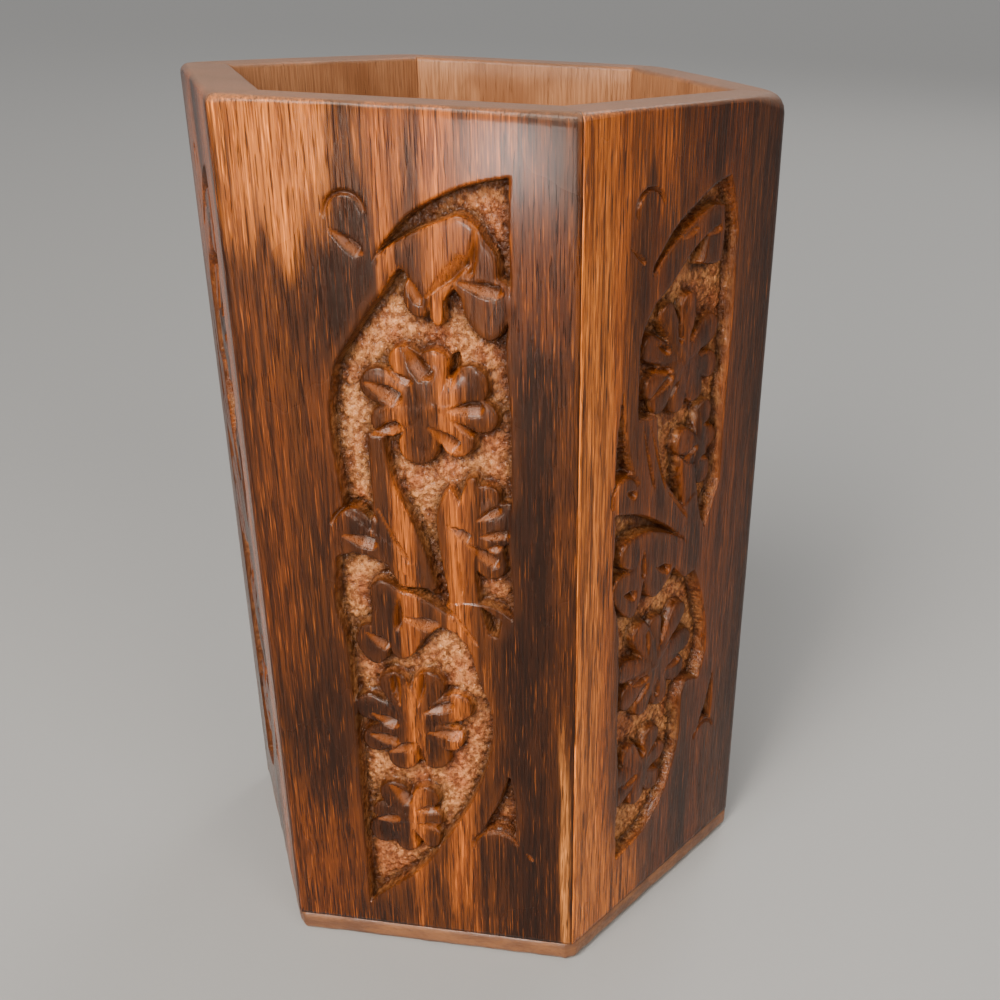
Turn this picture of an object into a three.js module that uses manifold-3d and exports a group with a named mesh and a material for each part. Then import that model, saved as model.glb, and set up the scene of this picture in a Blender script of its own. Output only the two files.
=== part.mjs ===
// A six-sided pen cup: six mitred hardwood panels glued edge to edge on a thin base board,
// with a floral relief cut into every outer face. Millimetres, +Z up, origin at the middle
// of the underside. The front panel faces -Y.
import * as THREE from "three";
import { mergeVertices } from "three/addons/utils/BufferGeometryUtils.js";
import Module from "manifold-3d";

// ---- Driving dimensions ----
const CUP_HEIGHT = 102; // underside of the base to the rim
const SIDE = 35.5; // one side of the outer hexagon
const PANEL_THICKNESS = 5.5;
const BASE_THICKNESS = 3;
const GLUE_LINE = 0.1; // left open between glued faces
const ARRIS_RADIUS = 1.2; // on the upright outer edges, where two panels meet
const RIM_RADIUS = 1.1; // on the inner and outer edges of the rim
const FOOT_RADIUS = 1.2; // worn lower edge of the base board

const PIN_DIAMETER = 1.2;
const PIN_LENGTH = 13;
const PIN_HEAD_DIAMETER = 2.4;
const PIN_HEAD_HEIGHT = 0.7;
const PIN_POINT = 1.6; // length of the pointed tip
const PIN_CLEARANCE = 0.1; // all round a pin in its pilot hole
const PIN_SET_IN = 0.2; // how far a head sits above the underside, clear of the table

// ---- The carving on each outer face ----
const CARVE_DEPTH = 1.8; // the punched ground lies this far below the face
const FIELD_SIDE_MARGIN = 7.4; // straight side of a recess to the nearer edge of the panel
const FIELD_END_MARGIN = 6.5; // tip of a recess to the rim, and to the underside
const RECESS_WIDTH = 18.4; // straight side to the widest point of the curved side
const RECESS_LENGTH = 46;
const RECESS_SHOULDER = 25.5; // length of the rounded end of a recess
const SCROLL_WIDTH = 2.6; // the raised band that follows the rounded end
const SLIT_WIDTH = 1.3; // ground showing outside that band
const BLOSSOM_RADIUS = 7;
const BUD_RADIUS = 4.6;
const NOTCH = 1.5; // how far the outline dips between two petals
const STEM_WIDTH = 3.4;
const BLOSSOM_PETALS = 8;
const BUD_PETALS = 5;
const SIDE_BUD_PETALS = 7; // the fuller bud beside the straight edge
const BUD_CROWDING = 2; // a bud stands this much nearer its blossom than halfway to the tip
const STEM_SPREAD = 4; // the stems' tips to either side of the middle of the recess
const SIDE_STEM_DROP = 6; // the shorter stem ends this far below the blossom's middle
const SCROLL_START = 0.2; // the scroll's ends, as shares of the rounded end of a recess
const SCROLL_END = 0.85;
const SLIT_CLOSES = 0.75; // share at which the slit outside the scroll has run out
const SLIT_TAPER = 0.5; // share over which it narrows
const GOUGE_RADIUS = 2.1; // of the small hooped cuts beside the recesses
const GOUGE_WIDTH = 0.6;
const GOUGE_DEPTH = 0.7;

const EDGE_STEPS = 2; // straight steps in half of each rounded edge
const ARC_STEPS = 12; // straight steps in each long curve
const PETAL_STEPS = 4; // straight steps round each petal
const OVERCUT = 1; // cutting solids reach this far outside what they cut

const APOTHEM = (SIDE * Math.sqrt(3)) / 2; // middle of the cup to an outer face
const PANEL_FOOT = BASE_THICKNESS + GLUE_LINE;
const SIXTH = Math.PI / 3;

const darkBrown = new THREE.MeshStandardMaterial({ color: 0x6b3517, roughness: 0.3 });
const paleBrown = new THREE.MeshStandardMaterial({ color: 0x8f5f38, roughness: 0.5 });
const steel = new THREE.MeshStandardMaterial({ color: 0x8a8781, roughness: 0.45, metalness: 1 });

const wasm = await Module();
wasm.setup();

/** A closed geometry as a manifold-3d solid. */
function solid(geometry) {
  const bare = geometry.index ? geometry.toNonIndexed() : geometry.clone();
  bare.deleteAttribute("normal");
  bare.deleteAttribute("uv");
  const merged = mergeVertices(bare, 1e-4);
  return new wasm.Manifold(
    new wasm.Mesh({
      numProp: 3,
      vertProperties: merged.attributes.position.array,
      triVerts: new Uint32Array(merged.index.array),
    }),
  );
}

/** A manifold-3d solid as a geometry with flat-shaded faces. */
function geometryOf(body) {
  const mesh = body.getMesh();
  const geometry = new THREE.BufferGeometry();
  geometry.setAttribute("position", new THREE.BufferAttribute(mesh.vertProperties, 3));
  geometry.setIndex(new THREE.BufferAttribute(mesh.triVerts, 1));
  const flat = geometry.toNonIndexed();
  flat.computeVertexNormals();
  return flat;
}

/** A shape drawn in plan (x, y), as an upright prism from z = low to z = high. */
function upright(shape, low, high) {
  const options = { depth: high - low, bevelEnabled: false, curveSegments: EDGE_STEPS };
  return new THREE.ExtrudeGeometry(shape, options).translate(0, 0, low);
}

/** A closed outline of [x, z] points on the front face, cut from outside to a depth in mm. */
function cutter(points, depth) {
  const shape = new THREE.Shape(points.map(([x, z]) => new THREE.Vector2(x, z)));
  const options = { depth: depth + OVERCUT, bevelEnabled: false };
  const geometry = new THREE.ExtrudeGeometry(shape, options);
  return solid(geometry.rotateX(Math.PI / 2).translate(0, depth - APOTHEM, 0));
}

// ---- The panel before it is carved ----

/** Plan of a mitred panel with half of each rounded arris, facing -Y. */
function panelPlan() {
  const half = SIDE / 2 - GLUE_LINE / 2 / Math.cos(SIXTH / 2);
  const innerHalf = half - PANEL_THICKNESS * Math.tan(SIXTH / 2);
  const tangent = ARRIS_RADIUS * Math.tan(SIXTH / 2);
  const shape = new THREE.Shape();
  shape.moveTo(innerHalf, PANEL_THICKNESS - APOTHEM);
  shape.lineTo(-innerHalf, PANEL_THICKNESS - APOTHEM);
  const arcY = ARRIS_RADIUS - APOTHEM;
  const arcX = half - tangent;
  shape.absarc(-arcX, arcY, ARRIS_RADIUS, 1.5 * Math.PI - SIXTH / 2, 1.5 * Math.PI, false);
  shape.absarc(arcX, arcY, ARRIS_RADIUS, 1.5 * Math.PI, 1.5 * Math.PI + SIXTH / 2, false);
  return shape;
}

/** An upright section drawn in (y, z), run along the whole front side and a little past it. */
function sideRun(section) {
  const options = { depth: 2 * SIDE + 2 * OVERCUT, bevelEnabled: false, curveSegments: EDGE_STEPS };
  const geometry = new THREE.ExtrudeGeometry(section, options);
  // Turned so that the section's own axes become Y and Z and the run lies along X.
  geometry.rotateX(Math.PI / 2).rotateZ(Math.PI / 2);
  return solid(geometry.translate(-SIDE - OVERCUT, 0, 0));
}

/** The wall of one panel with both edges of its rim rounded, longer than the panel. */
function wallRun() {
  const [outer, inner] = [-APOTHEM, PANEL_THICKNESS - APOTHEM];
  const shape = new THREE.Shape();
  shape.moveTo(outer, PANEL_FOOT);
  shape.lineTo(inner, PANEL_FOOT);
  const arcZ = CUP_HEIGHT - RIM_RADIUS;
  shape.absarc(inner - RIM_RADIUS, arcZ, RIM_RADIUS, 0, Math.PI / 2, false);
  shape.absarc(outer + RIM_RADIUS, arcZ, RIM_RADIUS, Math.PI / 2, Math.PI, false);
  return sideRun(shape);
}

// ---- Outlines of the carving, in [x, z] on the front face ----

/** A flower seen face on: round petals about a middle, with a notch between each two. */
function flower(x, z, radius, petals, turn = 0) {
  const steps = petals * PETAL_STEPS;
  return Array.from({ length: steps }, (_, i) => {
    const angle = (i / steps) * 2 * Math.PI;
    const dip = NOTCH * (1 - Math.abs(Math.cos((petals * angle) / 2)));
    const r = radius - dip;
    return [x + r * Math.cos(angle + turn), z + r * Math.sin(angle + turn)];
  });
}

/** A straight-sided stem that narrows from its foot to its tip. */
function stem([footX, footZ], [tipX, tipZ], footWidth, tipWidth) {
  return [
    [footX - footWidth / 2, footZ],
    [footX + footWidth / 2, footZ],
    [tipX + tipWidth / 2, tipZ],
    [tipX - tipWidth / 2, tipZ],
  ];
}

/** Points along the rounded end of a recess, from its tip down to its widest place. */
function shoulder(recess, inset, from = 0, to = 1) {
  return Array.from({ length: ARC_STEPS + 1 }, (_, i) => {
    const t = from + ((to - from) * i) / ARC_STEPS;
    const angle = (t * Math.PI) / 2;
    const shrink = typeof inset === "function" ? inset(t) : inset;
    return [
      recess.straight - (RECESS_WIDTH - shrink) * Math.sin(angle),
      recess.tip - RECESS_SHOULDER + (RECESS_SHOULDER - shrink) * Math.cos(angle),
    ];
  });
}

/** A D-shaped recess: straight on one side, with a rounded end and a slanting foot. */
function recessOutline(recess) {
  const foot = recess.tip - RECESS_LENGTH;
  const slant = RECESS_LENGTH - RECESS_SHOULDER - 2 * STEM_WIDTH;
  return [
    [recess.straight, foot],
    [recess.straight, recess.tip],
    ...shoulder(recess, 0).slice(1),
    [recess.straight - RECESS_WIDTH, foot + slant],
  ];
}

/** The raised scroll inside the rounded end, which joins the plain wood at its lower end. */
function scrollOutline(recess) {
  const slit = (t) => SLIT_WIDTH * Math.min(1, Math.max(0, (SLIT_CLOSES - t) / SLIT_TAPER));
  const past = (t) => OVERCUT * Math.max(0, (t - SLIT_CLOSES) / (SCROLL_END - SLIT_CLOSES));
  const outer = shoulder(recess, (t) => slit(t) - past(t), SCROLL_START, SCROLL_END);
  const inner = shoulder(recess, SLIT_WIDTH + SCROLL_WIDTH, SCROLL_START, SCROLL_END);
  return [...outer, ...inner.reverse()];
}

/** A thin hooped gouge cut, open at the bottom. */
function hoop(x, z) {
  const ring = (radius, flip) =>
    Array.from({ length: ARC_STEPS + 1 }, (_, i) => {
      const angle = ((flip ? ARC_STEPS - i : i) / ARC_STEPS) * Math.PI;
      return [x + radius * Math.cos(angle), z + radius * Math.sin(angle)];
    });
  return [...ring(GOUGE_RADIUS, false), ...ring(GOUGE_RADIUS - GOUGE_WIDTH, true)];
}

const straight = SIDE / 2 - FIELD_SIDE_MARGIN;
const upper = { straight, tip: CUP_HEIGHT - FIELD_END_MARGIN };
const middle = CUP_HEIGHT / 2;
const fieldMiddle = straight - RECESS_WIDTH / 2; // across the recess, where the blossoms stand
const step = (RECESS_LENGTH - 2 * BLOSSOM_RADIUS) / 2; // from a blossom to the bud beside it
const blossomZ = upper.tip - RECESS_LENGTH / 2;

/** Raised pieces left standing in the upper recess. */
const stemFoot = middle - STEM_WIDTH / 2;
const upperFlowers = [
  scrollOutline(upper),
  flower(fieldMiddle + BUD_RADIUS, blossomZ + step - BUD_CROWDING, BUD_RADIUS, BUD_PETALS, 0.3),
  flower(fieldMiddle, blossomZ, BLOSSOM_RADIUS, BLOSSOM_PETALS, 0.2),
  flower(straight - BUD_RADIUS / 2, blossomZ - step + BUD_CROWDING, BUD_RADIUS, SIDE_BUD_PETALS),
  stem(
    [fieldMiddle + STEM_WIDTH / 2, stemFoot],
    [fieldMiddle - STEM_SPREAD, blossomZ],
    2 * STEM_WIDTH,
    STEM_WIDTH / 2,
  ),
  stem(
    [fieldMiddle + STEM_SPREAD + 1, stemFoot],
    [fieldMiddle + STEM_SPREAD, blossomZ - SIDE_STEM_DROP],
    STEM_WIDTH,
    STEM_WIDTH / 2,
  ),
];

/** The same for the lower recess, described as if it too had its tip upwards. */
const lowerFlowers = [
  flower(fieldMiddle + 1, blossomZ + step - BUD_CROWDING, BUD_RADIUS, BUD_PETALS, 0.9),
  flower(fieldMiddle, blossomZ, BLOSSOM_RADIUS, BLOSSOM_PETALS, 0.1),
  flower(straight - BUD_RADIUS, blossomZ - step + BUD_CROWDING / 2, BUD_RADIUS, BUD_PETALS, 0.5),
];

/** A recess with its flowers left standing, as one cutting solid. */
function recessCutter(flowers) {
  let cut = cutter(recessOutline(upper), CARVE_DEPTH);
  for (const outline of flowers) cut = cut.subtract(cutter(outline, CARVE_DEPTH + OVERCUT));
  return cut;
}

/** One carved panel, standing at the front. The lower recess is the upper one turned half round. */
function carvedPanel() {
  const blank = wallRun().intersect(solid(upright(panelPlan(), 0, CUP_HEIGHT + OVERCUT)));
  const halfTurn = (body) => body.rotate([0, 180, 0]).translate([0, 0, CUP_HEIGHT]);
  const hoopZ = CUP_HEIGHT - FIELD_END_MARGIN - 2 * GOUGE_RADIUS;
  const hoops = cutter(hoop(-straight / 2, hoopZ), GOUGE_DEPTH);
  const pilot = solid(pinShape(PIN_CLEARANCE)).translate([0, pinRow(), 0]);
  return blank
    .subtract(recessCutter(upperFlowers))
    .subtract(halfTurn(recessCutter(lowerFlowers)))
    .subtract(hoops)
    .subtract(halfTurn(hoops))
    .subtract(pilot);
}

// ---- The base board and its pins ----

/** Where the pins stand: under the middle of the wall's thickness. */
function pinRow() {
  return PANEL_THICKNESS / 2 - APOTHEM;
}

/** A headed pin with its point upwards, grown all round by a clearance. */
function pinShape(grow) {
  const shank = PIN_DIAMETER / 2 + grow;
  const head = PIN_HEAD_DIAMETER / 2 + grow;
  const foot = grow > 0 ? -OVERCUT : PIN_SET_IN; // a pilot hole runs out through the underside
  const top = PIN_SET_IN + PIN_LENGTH + grow;
  const profile = [
    [0, foot],
    [head, foot],
    [head, PIN_SET_IN + PIN_HEAD_HEIGHT + grow],
    [shank, PIN_SET_IN + PIN_HEAD_HEIGHT + grow],
    [shank, top - PIN_POINT],
    [0, top],
  ];
  const points = profile.map(([x, y]) => new THREE.Vector2(x, y));
  return new THREE.LatheGeometry(points, 12).rotateX(Math.PI / 2);
}

/** Plan of the whole cup with its six arrises rounded. */
function hexagonPlan() {
  const shape = new THREE.Shape();
  for (let i = 0; i < 6; i++) {
    const angle = i * SIXTH;
    const reach = SIDE - ARRIS_RADIUS / Math.cos(SIXTH / 2);
    const [x, y] = [reach * Math.cos(angle), reach * Math.sin(angle)];
    shape.absarc(x, y, ARRIS_RADIUS, angle - SIXTH / 2, angle + SIXTH / 2, false);
  }
  return shape;
}

/** The board's thickness as seen from one side, with the lower edge of that side worn round. */
function footRun() {
  const shape = new THREE.Shape();
  shape.moveTo(APOTHEM + OVERCUT, 0);
  shape.lineTo(APOTHEM + OVERCUT, BASE_THICKNESS);
  shape.lineTo(-APOTHEM, BASE_THICKNESS);
  shape.absarc(FOOT_RADIUS - APOTHEM, FOOT_RADIUS, FOOT_RADIUS, Math.PI, 1.5 * Math.PI, false);
  return sideRun(shape);
}

/** The base board, with its lower edge worn round and a pilot hole for each pin. */
function baseBoard() {
  let body = solid(upright(hexagonPlan(), -OVERCUT, BASE_THICKNESS));
  const hole = solid(pinShape(PIN_CLEARANCE)).translate([0, pinRow(), 0]);
  for (let i = 0; i < 6; i++) {
    const turn = [0, 0, i * 60];
    body = body.intersect(footRun().rotate(turn)).subtract(hole.rotate(turn));
  }
  return body;
}

// ---- The assembly ----

const cup = new THREE.Group();

const base = new THREE.Mesh(geometryOf(baseBoard()), paleBrown);
base.name = "base_board";
cup.add(base);

const panelGeometry = geometryOf(carvedPanel());
const places = ["front", "front_right", "back_right", "back", "back_left", "front_left"];
places.forEach((place, i) => {
  const side = new THREE.Group();
  side.rotation.z = i * SIXTH;

  const panel = new THREE.Mesh(panelGeometry, darkBrown);
  panel.name = place + "_panel";
  side.add(panel);

  const pin = new THREE.Mesh(pinShape(0), steel);
  pin.name = place + "_base_pin";
  pin.position.y = pinRow();
  side.add(pin);

  cup.add(side);
});

export default cup;
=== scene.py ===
"""A six-sided pen cup of lacquered hardwood with a floral relief carved into every face.

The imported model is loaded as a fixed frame, and each of its pieces is replaced by a finely
worked one of the same size: six carved panels, a worn base board and the pins beneath it.
Lengths in the designs are millimetres on a face; meshes are metres in the frame's own axes.
"""

import logging
import math
from dataclasses import dataclass
from enum import Enum
from typing import Dict, List, Sequence, Tuple, Union

import bpy
import numpy as np
from mathutils import Matrix, Vector


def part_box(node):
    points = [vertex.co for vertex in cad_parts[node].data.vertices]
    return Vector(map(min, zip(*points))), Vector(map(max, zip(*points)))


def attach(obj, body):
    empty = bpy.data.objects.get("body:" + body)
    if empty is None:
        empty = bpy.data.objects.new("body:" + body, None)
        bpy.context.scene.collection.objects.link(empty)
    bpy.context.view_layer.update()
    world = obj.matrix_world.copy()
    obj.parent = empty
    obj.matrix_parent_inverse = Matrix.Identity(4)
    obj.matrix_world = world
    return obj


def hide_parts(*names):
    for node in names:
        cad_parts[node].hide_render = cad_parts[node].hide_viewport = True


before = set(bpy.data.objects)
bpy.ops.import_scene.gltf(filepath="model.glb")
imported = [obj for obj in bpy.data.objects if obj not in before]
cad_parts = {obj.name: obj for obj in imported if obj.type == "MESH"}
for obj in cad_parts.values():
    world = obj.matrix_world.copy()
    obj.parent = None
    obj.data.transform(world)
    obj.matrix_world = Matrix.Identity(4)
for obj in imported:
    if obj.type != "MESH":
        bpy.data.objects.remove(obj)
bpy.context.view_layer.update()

LOG = logging.getLogger("pen_cup")
MM = 0.001

Point = Tuple[float, float]
Triple = Tuple[float, float, float]
Colour = Triple
Array = np.ndarray


# ---------------------------------------------------------------------------------------
# Sizes taken from the frame
# ---------------------------------------------------------------------------------------


@dataclass(frozen=True)
class CupSizes:
    """The cup's main sizes in millimetres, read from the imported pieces."""

    apothem: float
    wall: float
    foot: float
    rim: float
    board_top: float
    seam_share: float = 0.05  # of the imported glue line, for the tight joint between two panels

    @classmethod
    def from_frame(cls) -> "CupSizes":
        """Read the sizes from the front panel and the base board.

        Returns:
            The sizes of the whole cup.
        """
        low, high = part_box("front_panel")
        board_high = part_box("base_board")[1]
        return cls(
            apothem=-low.y / MM,
            wall=(high.y - low.y) / MM,
            foot=low.z / MM,
            rim=high.z / MM,
            board_top=board_high.z / MM,
        )

    @property
    def side(self) -> float:
        """Length of one side of the outer hexagon."""
        return 2 * self.apothem / math.sqrt(3)

    @property
    def seam(self) -> float:
        """Width of the tight joint between two panels."""
        return self.seam_share * (self.foot - self.board_top)

    @property
    def pin_ring(self) -> float:
        """How far the pins stand from the cup's axis, under the middle of each wall."""
        return self.apothem - self.wall / 2

    def half_width(self, depth: Array) -> Array:
        """Half a panel's width at a depth below its outer face, mitre to mitre."""
        slope = math.tan(math.pi / 6)
        return (self.apothem - depth) * slope - self.seam / 2 / math.cos(math.pi / 6)


class Place(Enum):
    """The six sides of the cup, anticlockwise from the front when seen from above."""

    FRONT = 0
    FRONT_RIGHT = 1
    BACK_RIGHT = 2
    BACK = 3
    BACK_LEFT = 4
    FRONT_LEFT = 5

    @property
    def turn(self) -> float:
        """Angle in radians from the front to this side."""
        return self.value * math.pi / 3

    @property
    def stem(self) -> str:
        """The side's name as it stands in the names of its pieces."""
        return self.name.lower()


# ---------------------------------------------------------------------------------------
# Plane geometry on a face, in millimetres
# ---------------------------------------------------------------------------------------

NOISE_CELLS = 64  # cells before the random values repeat
NOISE_SHIFT: Point = (17.3, 5.7)
PUNCH_CELLS = 128
PUNCH_SHIFT: Point = (31.0, 9.0)
PUNCH_STRAY: Point = (0.12, 0.88)  # where a mark may fall within its cell


def smooth_step(x: Array) -> Array:
    """Rise smoothly from 0 at x = 0 to 1 at x = 1."""
    t = np.clip(x, 0.0, 1.0)
    return t * t * (3.0 - 2.0 * t)


def curve_through(points: Sequence[Point], corners: Sequence[int] = (), steps: int = 5) -> Array:
    """Draw a closed curve through points, smooth except at the named corners.

    Args:
        points: The points that the curve passes through, in order.
        corners: Indices of the points where the outline turns sharply.
        steps: Straight steps between two neighbouring points.

    Returns:
        The outline as an array of points, one row each.
    """
    pts = np.array(points, float)
    count = len(pts)
    sharp = set(corners)
    out: List[Array] = []
    for i in range(count):
        a, b = pts[i], pts[(i + 1) % count]
        before = a if i in sharp else pts[i - 1]
        after = b if (i + 1) % count in sharp else pts[(i + 2) % count]
        tangent_a, tangent_b = (b - before) / 2, (after - a) / 2
        for k in range(steps):
            t = k / steps
            h00, h10 = 2 * t**3 - 3 * t**2 + 1, t**3 - 2 * t**2 + t
            h01, h11 = -2 * t**3 + 3 * t**2, t**3 - t**2
            out.append(h00 * a + h10 * tangent_a + h01 * b + h11 * tangent_b)
    return np.array(out)


def inside_distance(u: Array, v: Array, outline: Array) -> Array:
    """Measure how far each place lies from an outline.

    Args:
        u: Places across the face.
        v: Places up the face.
        outline: Corners of a closed outline, one row each.

    Returns:
        The distances, positive inside the outline and negative outside.
    """
    nearest = np.full(u.shape, np.inf)
    inside = np.zeros(u.shape, bool)
    for a, b in zip(outline, np.roll(outline, -1, axis=0)):
        du, dv = b - a
        length = max(du * du + dv * dv, 1e-12)
        t = np.clip(((u - a[0]) * du + (v - a[1]) * dv) / length, 0.0, 1.0)
        nearest = np.minimum(nearest, (u - a[0] - t * du) ** 2 + (v - a[1] - t * dv) ** 2)
        if a[1] != b[1]:
            spans = (a[1] > v) != (b[1] > v)
            inside ^= spans & (u < a[0] + (v - a[1]) / dv * du)
    return np.where(inside, 1.0, -1.0) * np.sqrt(nearest)


def value_noise(u: Array, v: Array, cell: Point, seed: int) -> Array:
    """Draw smooth random values on a lattice.

    Args:
        u: Places across.
        v: Places up.
        cell: Size of a lattice cell across and up.
        seed: Seed of the random values.

    Returns:
        A value between -1 and 1 for each place.
    """
    lattice = np.random.default_rng(seed).uniform(-1.0, 1.0, (NOISE_CELLS, NOISE_CELLS))
    x, y = u / cell[0] + NOISE_SHIFT[0], v / cell[1] + NOISE_SHIFT[1]
    i, j = np.floor(x).astype(int), np.floor(y).astype(int)
    s, t = smooth_step(x - i), smooth_step(y - j)
    rows: List[Array] = []
    for b in (0, 1):
        near, far = (lattice[(i + a) % NOISE_CELLS, (j + b) % NOISE_CELLS] for a in (0, 1))
        rows.append(near * (1 - s) + far * s)
    return rows[0] * (1 - t) + rows[1] * t


def line_noise(x: Array, cell: float, seed: int) -> Array:
    """Smooth random values between -1 and 1 along a line."""
    return value_noise(x, x * 0, (cell, cell), seed)


def punch_marks(u: Array, v: Array, pitch: float, seed: int) -> Tuple[Array, Array]:
    """Scatter punch marks, one in each cell of a lattice.

    Args:
        u: Places across.
        v: Places up.
        pitch: Size of a cell.
        seed: Seed of the marks' places.

    Returns:
        The distances from each place to the nearest mark and to the next.
    """
    rng = np.random.default_rng(seed)
    jitter = rng.uniform(*PUNCH_STRAY, (PUNCH_CELLS, PUNCH_CELLS, 2))
    x, y = u / pitch + PUNCH_SHIFT[0], v / pitch + PUNCH_SHIFT[1]
    i, j = np.floor(x).astype(int), np.floor(y).astype(int)
    first = np.full(u.shape, np.inf)
    second = np.full(u.shape, np.inf)
    for a in (-1, 0, 1):
        for b in (-1, 0, 1):
            spot = jitter[(i + a) % PUNCH_CELLS, (j + b) % PUNCH_CELLS]
            d = np.hypot(i + a + spot[..., 0] - x, j + b + spot[..., 1] - y) * pitch
            second = np.minimum(second, np.maximum(first, d))
            first = np.minimum(first, d)
    return first, second


def blurred(field: Array, reach: int) -> Array:
    """Average a grid over a square window, twice, for a soft local mean.

    Args:
        field: The values to average.
        reach: Grid steps from the middle of the window to its edge.

    Returns:
        A grid of the same size.
    """
    out = field
    for _ in range(2):
        for axis in (0, 1):
            total = np.zeros_like(out)
            padded = np.pad(out, [(reach, reach) if a == axis else (0, 0) for a in (0, 1)], "edge")
            size = out.shape[axis]
            for k in range(2 * reach + 1):
                total += np.take(padded, np.arange(k, k + size), axis=axis)
            out = total / (2 * reach + 1)
    return out


# ---------------------------------------------------------------------------------------
# The carver's vocabulary
# ---------------------------------------------------------------------------------------


@dataclass(frozen=True)
class Petal:
    """One lobe of a flower, like a finger that widens to a round tip."""

    bearing: float  # degrees from the right, anticlockwise
    reach: float  # heart of the flower to the middle of the round tip
    tip: float  # radius of the tip


@dataclass(frozen=True)
class Gouge:
    """A lens-shaped cut made with one push of a V tool."""

    start: Point
    end: Point
    width: float
    depth: float = 0.7
    lean: float = 0.6  # where the valley lies: -1 at one side, +1 at the other
    lead: float = 0.08  # share of the length by which the swelling starts early
    run_in: float = 0.6  # share of the length over which the cut widens
    run_out: float = 0.14  # and over which it closes again
    bare_edge: float = 4.0  # how soon the bare wood shows from the sides inwards


@dataclass(frozen=True)
class Flower:
    """Petals about a heart, with the gouge cuts between them."""

    heart: Point
    petals: Tuple[Petal, ...]
    gouges: Tuple[Gouge, ...]
    top: float = -0.15
    crown: float = 0.16  # how far a petal falls from its middle line to its sides
    stray: float = 3.0  # degrees by which a petal may turn
    waist: float = 0.9  # radius of a petal at the heart
    widening: float = 0.7  # power by which a petal widens towards its tip
    droop: float = 0.22  # how far a petal falls towards its tip
    droop_stray: float = 0.1
    lip: float = 0.14  # how far the softened edge falls
    lip_width: float = 0.16
    skirt: float = 0.6  # how far past its outline a petal's top still counts
    crown_end: float = 1.3  # radii from the middle line where the crown stops falling


@dataclass(frozen=True)
class Raised:
    """Wood left standing inside a recess, with a plain or slightly lowered top."""

    outline: Tuple[Point, ...]
    corners: Tuple[int, ...] = ()
    top: float = 0.0
    round_over: float = 0.16  # width of the softened edge
    edge_drop: float = 0.16  # how far that edge falls


@dataclass(frozen=True)
class Recess:
    """An area cut down to the punched ground."""

    outline: Tuple[Point, ...]
    corners: Tuple[int, ...] = ()


@dataclass(frozen=True)
class Hoop:
    """A thin round-bottomed groove along part of a circle."""

    centre: Point
    radius: float
    start: float  # degrees
    end: float
    width: float = 0.55
    depth: float = 0.55
    bare_edge: float = 3.0
    bare: float = 0.6  # how much of its bare wood shows


@dataclass(frozen=True)
class Design:
    """Everything carved into one face. Places are (across, up) from its lower left corner."""

    recesses: Tuple[Recess, ...]
    raised: Tuple[Raised, ...]
    flowers: Tuple[Flower, ...]
    gouges: Tuple[Gouge, ...]
    hoops: Tuple[Hoop, ...]


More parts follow.
